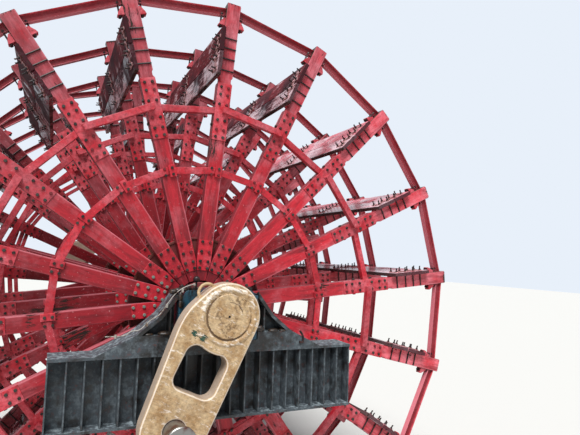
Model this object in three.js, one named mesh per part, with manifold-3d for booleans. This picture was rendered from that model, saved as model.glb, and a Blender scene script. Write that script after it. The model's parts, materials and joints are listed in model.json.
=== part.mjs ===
// Sternwheel unit of a river paddle boat: two half-wheels on one shaft, in bearings on two wheel beams.
// Units are millimetres, +Z is up, +Y runs along the shaft from the near side to the far side.
// The origin is the middle of the near wheel beam's underside.
import * as THREE from 'three';
import { mergeVertices } from 'three/addons/utils/BufferGeometryUtils.js';
import Module from 'manifold-3d';

const wasm = await Module();
wasm.setup();

// Driving dimensions of the wheel
const TIP_RADIUS = 4270;
const ARMS = 18;
const ARM_STEP = (2 * Math.PI) / ARMS;
const FIRST_ARM = THREE.MathUtils.degToRad(5.59);
const ARM_WIDTH = 200;
const ARM_DEPTH = 130;
const ARM_FOOT = 0.075 * TIP_RADIUS;
const FLANGE_PITCH = 0.4344 * TIP_RADIUS;
const HALF_GAP = 0.3 * FLANGE_PITCH;
const SEAT_GAP = 0.3;

// Rings that tie the arms, as distances of each straight side from the shaft
const INNER_RING = { near: 0.412 * TIP_RADIUS, far: 0.434 * TIP_RADIUS, thick: 20 };
const MID_RING = { near: 0.611 * TIP_RADIUS, far: 0.631 * TIP_RADIUS, thick: 88 };
const OUTER_RING = { near: 0.947 * TIP_RADIUS, far: 0.9705 * TIP_RADIUS, wide: 100, plate: 14, web: 16 };

// Buckets, the boards that push the water
const BUCKET = { near: 0.742 * TIP_RADIUS, far: 0.905 * TIP_RADIUS, thick: 54, overhang: 95 };
const BUCKET_SEAM = { wide: 8, deep: 12 };

// Hubs and shaft
const HUB = { radius: 0.212 * TIP_RADIUS, disc: 40, boss: 300, front: 30, back: 210 };
const SHAFT_RADIUS = 240;
const JOURNAL = { radius: 230, clearance: 0.5 };
const CRANK_SEAT_RADIUS = 215;

// Flat sides that stand for a round, all multiples of four
const HUB_SIDES = 24;
const SHAFT_SIDES = 48;
const CAP_SIDES = 36;
const PIN_SIDES = 24;
const CRANK_SIDES = 36;

// Heights and places on the near side, depths measured from the near flange's outer face
const SHAFT_HEIGHT = 1220;
const BEARING = { middle: -750, wide: 400, seat: -330, halfLength: 480, shoulder: 200 };
const BEARING_CROWN = { halfLength: 430, top: 262, corner: 60 };
const CRANK = { front: -1315, headBack: -985, webBack: -1115, pinHeadBack: -1045 };
const CRANK_OUTLINE = { head: 372, pinHead: 360, throw: 1300, step: 26 };
const CRANK_WINDOW = { near: 433, far: 900, left: 230, right: 264, corner: 110 };
const CRANK_CAP = { radius: 250, proud: 12 };
const CRANK_EYE = { x: 317, z: -136, radius: 115, bar: 36, middle: -1200 };
const PIN = { radius: 120, length: 330, collar: 155, collarThick: 45 };
const NEAR_CRANK_ANGLE = THREE.MathUtils.degToRad(245);
const FAR_CRANK_ANGLE = NEAR_CRANK_ANGLE - Math.PI / 2;

// The crank's swelling beside the head: leaves the head at a slant, then runs in towards the pin head
const CRANK_SHOULDER = { slant: THREE.MathUtils.degToRad(23), x: 478, z: 175, before: 170, after: 220 };

// Wheel beams, and the pedestal on each that carries the bearing
const BEAM = { halfLength: 1800, wide: 400, plate: 30, web: 40, top: -440, stiffener: 16, stiffeners: 21 };
const PEDESTAL = { halfFoot: 1350, halfTop: 940, top: -235, halfSeat: 490, web: 60 };
const SLOPE = [[492, 215], [507, 215], [690, -30], [952, -245], [889, -245], [661, -58], [492, 166]];

// The wheel's places along the shaft
const NEAR_FACE = -BEARING.middle;
const WHEEL_WIDTH = 4 * FLANGE_PITCH + HALF_GAP + ARM_DEPTH;
const MIDDLE = NEAR_FACE + WHEEL_WIDTH / 2;

const COLOURS = {
  timber: { color: 0xb5313f, roughness: 0.55, metalness: 0 },
  bucket: { color: 0x9c2f3a, roughness: 0.6, metalness: 0 },
  hub: { color: 0xa82c39, roughness: 0.5, metalness: 0.1 },
  crank: { color: 0xd9be82, roughness: 0.5, metalness: 0.1 },
  bearing: { color: 0x1f4a50, roughness: 0.5, metalness: 0.1 },
  beam: { color: 0x4a4f52, roughness: 0.7, metalness: 0.2 },
  steel: { color: 0x77797a, roughness: 0.4, metalness: 0.8 },
};

const group = new THREE.Group();

// A closed three.js geometry as a solid that can be joined and cut
function solid(geometry) {
  const bare = geometry.index ? geometry.toNonIndexed() : geometry;
  bare.deleteAttribute('normal');
  bare.deleteAttribute('uv');
  const merged = mergeVertices(bare, 0.001);
  const triVerts = new Uint32Array(merged.index.array);
  const vertProperties = new Float32Array(merged.attributes.position.array);
  return new wasm.Manifold(new wasm.Mesh({ numProp: 3, vertProperties, triVerts }));
}

function addMesh(name, body, look) {
  const result = body.getMesh();
  const geometry = new THREE.BufferGeometry();
  geometry.setAttribute('position', new THREE.BufferAttribute(new Float32Array(result.vertProperties), 3));
  geometry.setIndex(new THREE.BufferAttribute(new Uint32Array(result.triVerts), 1));
  geometry.computeVertexNormals();
  const mesh = new THREE.Mesh(geometry, new THREE.MeshStandardMaterial(look));
  mesh.name = name;
  mesh.position.set(0, 0, SHAFT_HEIGHT);
  group.add(mesh);
}

const join = (bodies) => bodies.reduce((whole, next) => whole.add(next));

// A side of the wheel: maps a depth behind its outer face to a place along the shaft
const nearSide = { name: 'near', place: (depth) => NEAR_FACE + depth };
const farSide = { name: 'far', place: (depth) => 2 * MIDDLE - NEAR_FACE - depth };

// An outline in the wheel's plane, given depth along the shaft between two places
function slab(points, placeA, placeB, holes = []) {
  const low = Math.min(placeA, placeB);
  const high = Math.max(placeA, placeB);
  const outline = () => new THREE.Shape(points.map(([x, z]) => new THREE.Vector2(x, z)));
  const shape = points instanceof THREE.Shape ? points : outline();
  shape.holes = holes;
  const geometry = new THREE.ExtrudeGeometry(shape, { depth: high - low, bevelEnabled: false, curveSegments: 12 });
  geometry.rotateX(Math.PI / 2);
  geometry.translate(0, high, 0);
  return geometry;
}

// Turns a piece drawn with its radius straight up to the given angle from +X towards +Z
function turned(geometry, angle) {
  geometry.rotateY(Math.PI / 2 - angle);
  return geometry;
}

const rectangle = (x0, x1, z0, z1) => [[x0, z0], [x1, z0], [x1, z1], [x0, z1]];

// A round piece along the shaft: pairs of radius and place, closed on itself or on the axis
function roundPiece(profile, sides) {
  const points = profile.map(([r, y]) => new THREE.Vector2(r, y));
  if (THREE.ShapeUtils.isClockWise(points)) points.reverse();
  if (points[0].x > 0) points.push(points[0].clone());
  return new THREE.LatheGeometry(points, sides);
}

// A timber arm: a wedge at the hub, where neighbours nearly touch, and then straight out to the tip
function armOutline() {
  const half = ARM_WIDTH / 2;
  const neighbourGap = 6;
  const halfFoot = ARM_FOOT * Math.tan(ARM_STEP / 2) - neighbourGap / 2;
  const wedgeTop = (half + neighbourGap / 2) / Math.tan(ARM_STEP / 2);
  return [[-halfFoot, ARM_FOOT], [halfFoot, ARM_FOOT], [half, wedgeTop], [half, TIP_RADIUS],
    [-half, TIP_RADIUS], [-half, wedgeTop]];
}

// One straight side of a ring, from arm middle to arm middle, mitred there
function ringSide(ring) {
  const slope = Math.tan(ARM_STEP / 2);
  return [[-ring.near * slope, ring.near], [ring.near * slope, ring.near],
    [ring.far * slope, ring.far], [-ring.far * slope, ring.far]];
}

// A whole ring as a polygon with its corners on the arms
function ringOutline(ring, firstArm) {
  const corner = (reach, k) => {
    const angle = firstArm + k * ARM_STEP;
    const radius = reach / Math.cos(ARM_STEP / 2);
    return new THREE.Vector2(radius * Math.cos(angle), radius * Math.sin(angle));
  };
  const steps = [...Array(ARMS).keys()];
  const shape = new THREE.Shape(steps.map((k) => corner(ring.far, k)));
  return { shape, hole: new THREE.Path(steps.map((k) => corner(ring.near, k)).reverse()) };
}

// The outer ring is rolled like an I: a flat band on each edge and a web between them
function outerRingBands() {
  const { near, far, wide, plate, web } = OUTER_RING;
  return [
    { near, far: near + plate, wide },
    { near: near + plate / 2, far: far - plate / 2, wide: web },
    { near: far - plate, far, wide },
  ];
}

// A flange: eighteen arms tied by an inner, a middle and an outer ring
function flange(side, depth, firstArm) {
  const at = (extra) => side.place(depth + extra);
  const pieces = [];
  for (let k = 0; k < ARMS; k += 1) {
    pieces.push(solid(turned(slab(armOutline(), at(0), at(ARM_DEPTH)), firstArm + k * ARM_STEP)));
  }
  const inner = ringOutline(INNER_RING, firstArm);
  pieces.push(solid(slab(inner.shape, at(-INNER_RING.thick), at(0), [inner.hole])));
  for (let k = 0; k < ARMS; k += 1) {
    // Sides of the middle ring lie in front of the arms and between them in turn
    const inFront = k % 2 === 1;
    const start = inFront ? -MID_RING.thick : 0;
    const angle = firstArm + (k + 0.5) * ARM_STEP;
    pieces.push(solid(turned(slab(ringSide(MID_RING), at(start), at(start + MID_RING.thick)), angle)));
  }
  for (const { near, far, wide } of outerRingBands()) {
    const band = ringOutline({ near, far }, firstArm);
    const start = (ARM_DEPTH - wide) / 2;
    pieces.push(solid(slab(band.shape, at(start), at(start + wide), [band.hole])));
  }
  return join(pieces);
}

// A hub: a disc behind the arms on a boss round the shaft
function hub(side, depth) {
  const bore = (SHAFT_RADIUS + SEAT_GAP) / Math.cos(Math.PI / HUB_SIDES);
  const at = (extra) => side.place(depth + extra);
  const discFront = ARM_DEPTH + SEAT_GAP;
  const profile = [[bore, -HUB.front], [HUB.boss, -HUB.front], [HUB.boss, discFront], [HUB.radius, discFront],
    [HUB.radius, discFront + HUB.disc], [HUB.boss, discFront + HUB.disc], [HUB.boss, HUB.back], [bore, HUB.back]];
  return solid(roundPiece(profile.map(([r, extra]) => [r, at(extra)]), HUB_SIDES));
}

// A bucket: two boards edge to edge with an open seam, on the rising side of the arms
function bucket(start, end, angle) {
  const face = -ARM_WIDTH / 2 - SEAT_GAP;
  const back = face - BUCKET.thick;
  const seam = (BUCKET.near + BUCKET.far) / 2;
  const half = BUCKET_SEAM.wide / 2;
  const outline = [[back, BUCKET.near], [face, BUCKET.near], [face, seam - half], [face - BUCKET_SEAM.deep, seam],
    [face, seam + half], [face, BUCKET.far], [back, BUCKET.far], [back, seam + half],
    [back + BUCKET_SEAM.deep, seam], [back, seam - half]];
  return solid(turned(slab(outline, start, end), angle));
}

// The crank's outline, drawn with the throw upwards
function crankOutline() {
  const { head, pinHead, throw: reach } = CRANK_OUTLINE;
  const { slant, x, z, before, after } = CRANK_SHOULDER;
  const lean = Math.asin((head - pinHead) / reach);
  const runIn = Math.atan2(x, reach - z) - Math.asin(pinHead / Math.hypot(x, reach - z));
  const shape = new THREE.Shape();
  shape.absarc(0, 0, head, Math.PI - lean, 2 * Math.PI - slant, false);
  shape.lineTo(x - before * Math.sin(slant), z - before * Math.cos(slant));
  shape.quadraticCurveTo(x, z, x - after * Math.sin(runIn), z + after * Math.cos(runIn));
  shape.absarc(0, reach, pinHead, runIn, Math.PI - lean, false);
  return shape;
}

// The open window between the cheeks, its inner edge an arc round the head
function crankWindow() {
  const { near, far, left, right, corner } = CRANK_WINDOW;
  const start = Math.acos((right - corner) / (near + corner));
  const end = Math.PI - Math.acos((left - corner) / (near + corner));
  const centre = (angle) => [(near + corner) * Math.cos(angle), (near + corner) * Math.sin(angle)];
  const shape = new THREE.Shape();
  shape.absarc(0, 0, near, end, start, true);
  shape.absarc(...centre(start), corner, start + Math.PI, 2 * Math.PI, false);
  shape.absarc(right - corner, far - corner, corner, 0, Math.PI / 2, false);
  shape.absarc(corner - left, far - corner, corner, Math.PI / 2, Math.PI, false);
  shape.absarc(...centre(end), corner, Math.PI, end + Math.PI, false);
  return shape;
}

// A disc or ring along the shaft's direction at the given place on the crank
function crankDisc(radius, from, to, out = 0, sides = CAP_SIDES) {
  const disc = roundPiece([[0, from], [radius, from], [radius, to], [0, to]], sides);
  disc.translate(0, 0, out);
  return disc;
}

// The lifting eye, a ring half sunk in the side of the crank's head
function liftingEye(at) {
  const { x, z, radius, bar, middle } = CRANK_EYE;
  const hole = new THREE.Path();
  hole.absarc(x, z, radius - bar, 0, 2 * Math.PI, true);
  const ring = new THREE.Shape();
  ring.absarc(x, z, radius, 0, 2 * Math.PI, false);
  return slab(ring, at(middle - bar / 2), at(middle + bar / 2), [hole]);
}

// The crank: a round head on the shaft's end, a web with a window, a round head for the pin, and a lifting eye
function crank(side, angle) {
  const at = side.place;
  const { front, headBack, webBack, pinHeadBack } = CRANK;
  const { head, pinHead, throw: reach, step } = CRANK_OUTLINE;
  const past = 10;
  const sunk = 5;
  const shaftEnd = front + 60;
  const seat = CRANK_SEAT_RADIUS + SEAT_GAP + 1;
  const added = [
    crankDisc(head - step, at(webBack - sunk), at(headBack), 0, CRANK_SIDES),
    crankDisc(pinHead - step, at(webBack - sunk), at(pinHeadBack), reach, CRANK_SIDES),
    crankDisc(CRANK_CAP.radius, at(front - CRANK_CAP.proud), at(front + sunk)),
    slab(crankOutline(), at(front), at(webBack)),
    liftingEye(at),
  ];
  const cut = [
    slab(crankWindow(), at(front - past), at(headBack + past)),
    crankDisc(seat, at(shaftEnd), at(headBack + past)),
    crankDisc(PIN.radius + SEAT_GAP, at(front - past), at(pinHeadBack + past), reach, PIN_SIDES),
  ];
  const body = join(added.map((piece) => solid(turned(piece, angle))));
  return cut.reduce((rest, piece) => rest.subtract(solid(turned(piece, angle))), body);
}

// The crank pin: pressed through the pin head, with a collar at its outer end
function crankPin(side, angle) {
  const { radius, length, collar, collarThick } = PIN;
  const inner = CRANK.pinHeadBack;
  const outer = CRANK.front - length;
  const profile = [[0, inner], [radius, inner], [radius, outer + collarThick], [collar, outer + collarThick],
    [collar, outer], [0, outer]];
  const pin = roundPiece(profile.map(([r, depth]) => [r, side.place(depth)]), PIN_SIDES);
  pin.translate(0, 0, CRANK_OUTLINE.throw);
  return solid(turned(pin, angle));
}

// The bearing's lower block, up to the shaft's middle, and its cap with low shoulders beside a crown
function bearing(side) {
  const start = side.place(BEARING.middle - BEARING.wide / 2);
  const end = side.place(BEARING.middle + BEARING.wide / 2);
  const { halfLength, seat, shoulder } = BEARING;
  const bore = (JOURNAL.radius + JOURNAL.clearance) / Math.cos(Math.PI / SHAFT_SIDES);
  const low = Math.min(start, end) - 10;
  const high = Math.max(start, end) + 10;
  const boreSolid = solid(roundPiece([[0, low], [bore, low], [bore, high], [0, high]], SHAFT_SIDES));
  const split = SEAT_GAP / 2;
  const { halfLength: crown, top, corner } = BEARING_CROWN;
  const upper = new THREE.Shape();
  upper.moveTo(-halfLength, split);
  upper.lineTo(halfLength, split);
  upper.lineTo(halfLength, shoulder);
  upper.absarc(crown - corner, top - corner, corner, 0, Math.PI / 2, false);
  upper.absarc(corner - crown, top - corner, corner, Math.PI / 2, Math.PI, false);
  upper.lineTo(-halfLength, shoulder);
  return {
    block: solid(slab(rectangle(-halfLength, halfLength, seat + SEAT_GAP, -split), start, end)).subtract(boreSolid),
    cap: solid(slab(upper, start, end)).subtract(boreSolid),
  };
}

// A wheel beam: a plate girder with web stiffeners, and a pedestal with two sloping plates beside the bearing
function wheelBeam(side) {
  const at = (extra) => side.place(BEARING.middle + extra);
  const across = (points, wide) => solid(slab(points, at(-wide / 2), at(wide / 2)));
  const bottom = -SHAFT_HEIGHT;
  const sunk = 10;
  const { halfLength, wide, plate, web, top, stiffener, stiffeners } = BEAM;
  const { halfFoot, halfTop, top: body, halfSeat } = PEDESTAL;
  const { seat } = BEARING;
  const pieces = [
    across(rectangle(-halfLength, halfLength, bottom, bottom + plate), wide),
    across(rectangle(-halfLength, halfLength, bottom + sunk, top - sunk), web),
    across(rectangle(-halfLength, halfLength, top - plate, top), wide),
    across([[-halfFoot, top - sunk], [halfFoot, top - sunk], [halfFoot, top], [halfTop, body], [halfSeat, body],
      [halfSeat, seat], [-halfSeat, seat], [-halfSeat, body], [-halfTop, body], [-halfFoot, top]], wide),
  ];
  for (let k = 0; k < stiffeners; k += 1) {
    const x = -halfLength + stiffener / 2 + (k * (2 * halfLength - stiffener)) / (stiffeners - 1);
    pieces.push(across(rectangle(x - stiffener / 2, x + stiffener / 2, bottom + sunk, top - sunk), wide - 30));
  }
  const slopeWeb = [...SLOPE.slice(0, 4), [SLOPE[0][0], body - sunk]];
  for (const hand of [-1, 1]) {
    const handed = (points) => points.map(([x, z]) => [hand * x, z]);
    pieces.push(across(handed(SLOPE), wide), across(handed(slopeWeb), PEDESTAL.web));
  }
  return join(pieces);
}

// The shaft: crank seats at the ends, journals in the bearings and a thicker middle in the hubs
function shaft() {
  const shoulder = BEARING.middle + BEARING.wide / 2 + 20;
  const outer = BEARING.middle - BEARING.wide / 2 - 20;
  const end = CRANK.front + 61;
  const half = [[0, end], [CRANK_SEAT_RADIUS, end], [CRANK_SEAT_RADIUS, outer], [JOURNAL.radius, outer],
    [JOURNAL.radius, shoulder], [SHAFT_RADIUS, shoulder]];
  const nearHalf = half.map(([r, depth]) => [r, nearSide.place(depth)]);
  const farHalf = half.map(([r, depth]) => [r, farSide.place(depth)]).reverse();
  return solid(roundPiece([...nearHalf, ...farHalf], SHAFT_SIDES));
}

const sides = [
  { side: nearSide, firstArm: FIRST_ARM, crankAngle: NEAR_CRANK_ANGLE },
  { side: farSide, firstArm: FIRST_ARM + ARM_STEP / 2, crankAngle: FAR_CRANK_ANGLE },
];

for (const { side, firstArm, crankAngle } of sides) {
  for (let k = 0; k < 3; k += 1) {
    addMesh(`${side.name}_flange_${k + 1}`, flange(side, k * FLANGE_PITCH, firstArm), COLOURS.timber);
    addMesh(`${side.name}_hub_${k + 1}`, hub(side, k * FLANGE_PITCH), COLOURS.hub);
  }
  const start = side.place(-BUCKET.overhang);
  const end = side.place(2 * FLANGE_PITCH + ARM_DEPTH + BUCKET.overhang);
  for (let k = 0; k < ARMS; k += 1) {
    const name = `${side.name}_bucket_${String(k + 1).padStart(2, '0')}`;
    addMesh(name, bucket(start, end, firstArm + k * ARM_STEP), COLOURS.bucket);
  }
  addMesh(`${side.name}_crank`, crank(side, crankAngle), COLOURS.crank);
  addMesh(`${side.name}_crank_pin`, crankPin(side, crankAngle), COLOURS.steel);
  const { block, cap } = bearing(side);
  addMesh(`${side.name}_bearing_block`, block, COLOURS.bearing);
  addMesh(`${side.name}_bearing_cap`, cap, COLOURS.bearing);
  addMesh(`${side.name}_wheel_beam`, wheelBeam(side), COLOURS.beam);
}
addMesh('shaft', shaft(), COLOURS.steel);

export default group;
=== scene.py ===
"""Sternwheel of a river paddle boat: timbers, irons, castings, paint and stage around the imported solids.

Metres, +Z up, +Y along the shaft from the near side to the far side. A piece of the wheel is drawn with its
radius straight up over the shaft, shaped there, and then copied and turned about the shaft to its places.
"""
import functools
import json
import math
import random
import bmesh
import bpy
from bpy.props import FloatProperty, FloatVectorProperty, PointerProperty
from mathutils import Matrix, Vector


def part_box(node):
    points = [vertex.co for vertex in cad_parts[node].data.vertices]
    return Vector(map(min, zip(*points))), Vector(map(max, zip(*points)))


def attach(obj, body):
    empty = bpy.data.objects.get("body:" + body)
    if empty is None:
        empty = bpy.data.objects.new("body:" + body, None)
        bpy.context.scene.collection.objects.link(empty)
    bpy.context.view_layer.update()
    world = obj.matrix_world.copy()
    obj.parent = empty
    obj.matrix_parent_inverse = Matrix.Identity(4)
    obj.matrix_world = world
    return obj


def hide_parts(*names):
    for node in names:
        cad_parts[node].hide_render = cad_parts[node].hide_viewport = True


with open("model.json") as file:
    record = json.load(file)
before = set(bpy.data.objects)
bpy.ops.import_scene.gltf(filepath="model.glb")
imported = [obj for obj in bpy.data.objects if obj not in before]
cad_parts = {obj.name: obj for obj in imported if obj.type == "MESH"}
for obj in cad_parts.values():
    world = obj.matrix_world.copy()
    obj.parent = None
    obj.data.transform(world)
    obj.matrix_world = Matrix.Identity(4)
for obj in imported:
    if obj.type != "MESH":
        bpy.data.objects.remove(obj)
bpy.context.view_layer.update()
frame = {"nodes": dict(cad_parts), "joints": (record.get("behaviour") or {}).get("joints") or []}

bl_info = {
    "name": "Sternwheel",
    "version": (1, 0, 0),
    "blender": (4, 5, 0),
    "location": "View3D > Sidebar > Sternwheel",
    "description": "Models and paints the sternwheel of a river paddle boat around its solids",
    "category": "Add Mesh",
}

# Places that come from the frame
SHAFT = Vector(frame["joints"][0]["pos_m"])
MIDDLE = (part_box("shaft")[0].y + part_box("shaft")[1].y) / 2
FLANGE_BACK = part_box("near_flange_1")[1].y
FLANGE_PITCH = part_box("near_flange_2")[1].y - FLANGE_BACK
BUCKET_SPAN = (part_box("near_bucket_01")[0].y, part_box("near_bucket_01")[1].y)
ARMS = 18
ARM_STEP = math.radians(360 / ARMS)
HALF_STEP = math.tan(ARM_STEP / 2)

# Radii on a flange, as shares of the tip radius
INNER_RING, MIDDLE_RING, OUTER_RING = (0.412, 0.434), 0.611, (0.947, 0.9705)
HUB_PLATE, LAP, SPLICE, BRACKET = (0.107, 0.203), (0.408, 0.446), (0.531, 0.722), (0.9225, 0.946)
ARM_FOOT, NECK = 0.075, (0.7235, 0.7285, 0.741, 0.7455)
BOARD_LOW, BOARD_HIGH = 0.742, 0.905
BOARD_SEAM = (BOARD_LOW + BOARD_HIGH) / 2
U_BOLTS = (0.766, 0.806, 0.842, 0.876)
HUB_BOLTS = (0.115, 0.136, 0.167, 0.198)
SPLICE_BOLTS = (0.541, 0.565, 0.597, 0.650, 0.683, 0.708)
LAP_BOLTS, FLANK_BOLTS = (0.4155, 0.4355), (0.583, 0.656)
BOLT_COLUMN = 0.0122
# The hub disc's two faces behind the arms' backs, and the crank's front before the arms' faces, in metres
HUB_DISC = (0.0003, 0.0403)
CRANK_OUT = 1.315
# The crank's lifting eye, across and up from the shaft, and the radii of the eye and of its bar
EYE, EYE_RADIUS, EYE_BAR = (0.317, -0.136), 0.097, 0.018

ACROSS, ALONG, UP = Vector((1, 0, 0)), Vector((0, 1, 0)), Vector((0, 0, 1))


def linear(code):
    """A hex sRGB colour as linear red, green and blue."""
    parts = [int(code[i:i + 2], 16) / 255 for i in (1, 3, 5)]
    return tuple(p / 12.92 if p <= 0.04045 else ((p + 0.055) / 1.055) ** 2.4 for p in parts)


def length(name, default, description):
    """A size in metres that the user can change."""
    return FloatProperty(name=name, description=description, default=default, unit="LENGTH", min=0.0)


def angle(name, default, description):
    """An angle that the user can change, given in radians."""
    return FloatProperty(name=name, description=description, default=default, subtype="ANGLE")


def amount(name, default, description, least=0.0):
    """A plain number that the user can change."""
    return FloatProperty(name=name, description=description, default=default, min=least)


def colour(name, code, description):
    """A paint or metal colour that the user can change."""
    return FloatVectorProperty(name=name, description=description, default=linear(code), subtype="COLOR",
                               size=3, min=0.0, max=1.0)


class WheelSizes(bpy.types.PropertyGroup):
    tip: length("Tip radius", 4.27, "From the shaft's axis to the ends of the arms")
    arm_width: length("Arm width", 0.2, "Width of an arm across the wheel's face")
    arm_depth: length("Arm depth", 0.13, "Depth of an arm along the shaft")
    neighbour_gap: length("Foot gap", 0.006, "Gap between neighbouring arms where they meet at the hub")
    neck: length("Neck", 0.019, "How far each side of an arm is cut in above the splice plates")
    plate: length("Plate thickness", 0.012, "Thickness of the plates bolted to the arms")
    mid_bar: length("Middle ring bar", 0.088, "Side of the square bars of the middle ring")
    outer_wide: length("Outer ring width", 0.1, "Width of the rolled beams of the outer ring")
    outer_plate: length("Outer ring flange", 0.014, "Thickness of the flanges of the outer ring's beams")
    rod: length("Clamp rod", 0.021, "Diameter of the rods that clamp the buckets to the arms")
    bucket_thick: length("Bucket thickness", 0.054, "Thickness of the bucket boards")
    hub: length("Hub radius", 0.905, "Radius of the disc behind the arms")
    first_arm: angle("First arm", math.radians(5.59), "Angle of the near half's first arm above level")


class CrankSizes(bpy.types.PropertyGroup):
    head: length("Head radius", 0.372, "Radius of the crank's round head on the shaft")
    pin_head: length("Pin head radius", 0.36, "Radius of the crank's round head at the pin")
    throw: length("Throw", 1.3, "From the shaft's axis to the crank pin's axis")
    cap: length("Cap radius", 0.25, "Radius of the cap over the shaft's end")
    ridge: length("Ridge radius", 0.303, "Radius of the worn ridge round the cap")
    rim: length("Rim rounding", 0.022, "Rounding of the crank's front edge")
    pin: length("Pin radius", 0.12, "Radius of the crank pin")
    angle: angle("Near crank angle", math.radians(245), "Direction of the near crank's throw")


class Paints(bpy.types.PropertyGroup):
    red: colour("Red paint", "#BC2633", "Fresh paint on the timbers and irons")
    # Faded red is bleached paint and also painted light: sky sheen towards the rim, highlights on the
    # arrises, the lit underside of the outer ring and the lit side of the buckets
    red_faded_and_lit: colour("Faded red", "#D9828D", "Paint bleached by sun and spray")
    red_dark: colour("Dark red", "#6A1921", "Paint in the lee, stained by grime")
    undercoat: colour("Pale undercoat", "#E6B3B8", "Chalky undercoat where the red has chipped")
    bare_wood: colour("Bare wood", "#2B211D", "Wet old timber where the paint is gone")
    slime: colour("Slime", "#2E3A30", "Olive growth on the flanks near the tips")
    board_dark: colour("Bucket dark", "#37131B", "Soaked bucket boards")
    # Bucket pale is chalky paint and also painted sheen and light on the inner boards and on the lit side of
    # the wheel
    board_chalk_and_sheen: colour("Bucket pale", "#E2C3CA", "Bleached paint on the bucket boards")
    rust: colour("Rust", "#5E2C20", "Rust on irons and castings")
    bolt: colour("Bolt metal", "#2F312D", "Weathered zinc on nuts and bolt heads")
    bolt_new: colour("Newer bolt metal", "#76827A", "Zinc on the hub bolts that were renewed")
    black: colour("Black iron", "#1A1112", "Greased black rods")
    cream: colour("Cream paint", "#C9AE88", "Crank paint")
    cream_deep: colour("Deep cream", "#A5835A", "Crank paint where oil has soaked in")
    # Worn cream is rubbed paint and also a painted highlight along the crank's rounded rim
    cream_worn_and_highlight: colour("Worn cream", "#EDE4DA", "Crank paint worn to its chalky undercoat")
    cream_side: colour("Crank flank", "#A89789", "Grey film on the crank's flanks")
    crank_oil: colour("Crank oil", "#4E351D", "Dried oil on the crank")
    primer: colour("Green primer", "#1F4436", "Old primer that shows on the crank")
    teal: colour("Teal paint", "#1B4354", "Bearing paint")
    beam: colour("Beam paint", "#3C444A", "Grey paint on the wheel beams")
    beam_pale: colour("Pale beam paint", "#8B979C", "Beam paint washed pale")
    grease: colour("Grease", "#16120F", "Old grease and soot")
    pipe: colour("Pipe paint", "#96918A", "Off-white grease pipe")
    steel: colour("Turned steel", "#8C8B88", "Shaft and crank pins")


class StageSettings(bpy.types.PropertyGroup):
    floor_size: length("Floor size", 160.0, "Side of the square floor")
    floor_drop: length("Floor drop", 0.02, "How far the floor lies below the wheel")
    floor_colour: colour("Floor colour", "#D2D1CD", "Plain pale floor")
    sky_colour: colour("Surroundings", "#E8F0FA", "Plain pale surroundings")
    sky_strength: amount("Fill strength", 0.22, "How strongly the surroundings light the wheel")
    sky_shown: amount("Backdrop strength", 1.0, "How bright the surroundings look")
    sky_mirrored: amount("Mirrored strength", 0.85, "How bright the surroundings mirror")
    sun_strength: amount("Key strength", 4.9, "Brightness of the wide soft key light")
    sun_softness: angle("Key softness", math.radians(35), "How wide the key light is in the sky")
    camera_place: FloatVectorProperty(name="Camera place", description="Where the camera stands", size=3,
                                      default=(-1.79566, -5.934526, 1.925146), subtype="TRANSLATION")
    camera_yaw: angle("Yaw", 0.435004, "Camera direction, to the right of the shaft's")
    camera_pitch: angle("Pitch", 0.074074, "Camera direction above level")
    camera_roll: angle("Roll", 0.032505, "Camera roll")
    camera_lens: amount("Lens", 31.193, "Focal length in millimetres on a 36 mm sensor", 1.0)


# Selecting and starting pieces

def only(obj):
    """Makes one object the selected and active one."""
    bpy.ops.object.select_all(action="DESELECT")
    obj.select_set(True)
    bpy.context.view_layer.objects.active = obj


def edit(obj, kind="FACE", chosen="DESELECT"):
    """Opens a piece for editing with nothing or all of it selected."""
    only(obj)
    bpy.ops.object.mode_set(mode="EDIT")
    bpy.ops.mesh.select_mode(type=kind)
    bpy.ops.mesh.select_all(action=chosen)


def done():
    """Ends the editing of a piece."""
    bpy.ops.object.mode_set(mode="OBJECT")


def closed(obj, merge=0.0):
    """Merges doubles where a distance is given, turns the faces outwards and ends the editing."""
    bpy.ops.mesh.select_all(action="SELECT")
    if merge:
        bpy.ops.mesh.remove_doubles(threshold=merge)
    bpy.ops.mesh.normals_make_consistent(inside=False)
    done()
    return obj


def pick(kind, test):
    """Selects only the faces or vertices of the edited piece that pass a test of place and direction."""
    bpy.ops.mesh.select_all(action="DESELECT")
    mesh = bpy.context.edit_object.data
    shape = bmesh.from_edit_mesh(mesh)
    if kind == "faces":
        chosen = [f for f in shape.faces if test(f.calc_center_median(), f.normal)]
    else:
        chosen = [v for v in shape.verts if test(v.co)]
    for item in chosen:
        item.select_set(True)
    bmesh.update_edit_mesh(mesh)


def pull(*step):
    """Extrudes what is selected by a step."""
    bpy.ops.mesh.extrude_region_move(TRANSFORM_OT_translate={"value": step})


def seams(direction, places):
    """Cuts seams through the whole edited piece, square to a direction."""
    for place in places:
        bpy.ops.mesh.select_all(action="SELECT")
        bpy.ops.mesh.bisect(plane_co=place * direction, plane_no=direction)


def added(name, primitive, **settings):
    """Adds a named primitive and puts its place into its mesh."""
    bpy.ops.object.select_all(action="DESELECT")
    primitive(**settings)
    obj = bpy.context.object
    obj.name = obj.data.name = name
    bpy.ops.object.transform_apply(location=True, rotation=True, scale=True)
    return obj


def block(name, low, high):
    """A box between its lowest and highest corners."""
    low, high = Vector(low), Vector(high)
    return added(name, bpy.ops.mesh.primitive_cube_add, size=1, location=(low + high) / 2, scale=high - low)


def chain(name, points):
    """Draws a line through points, vertex by vertex, and leaves it open for editing."""
    start = Vector(points[0])
    obj = added(name, bpy.ops.mesh.primitive_plane_add, size=0.01, location=start)
    edit(obj, "VERT", "SELECT")
    bpy.ops.mesh.merge(type="CENTER")
    for point in points[1:]:
        pull(*(Vector(point) - start))
        start = Vector(point)
    bpy.ops.mesh.select_all(action="SELECT")
    return obj


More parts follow.
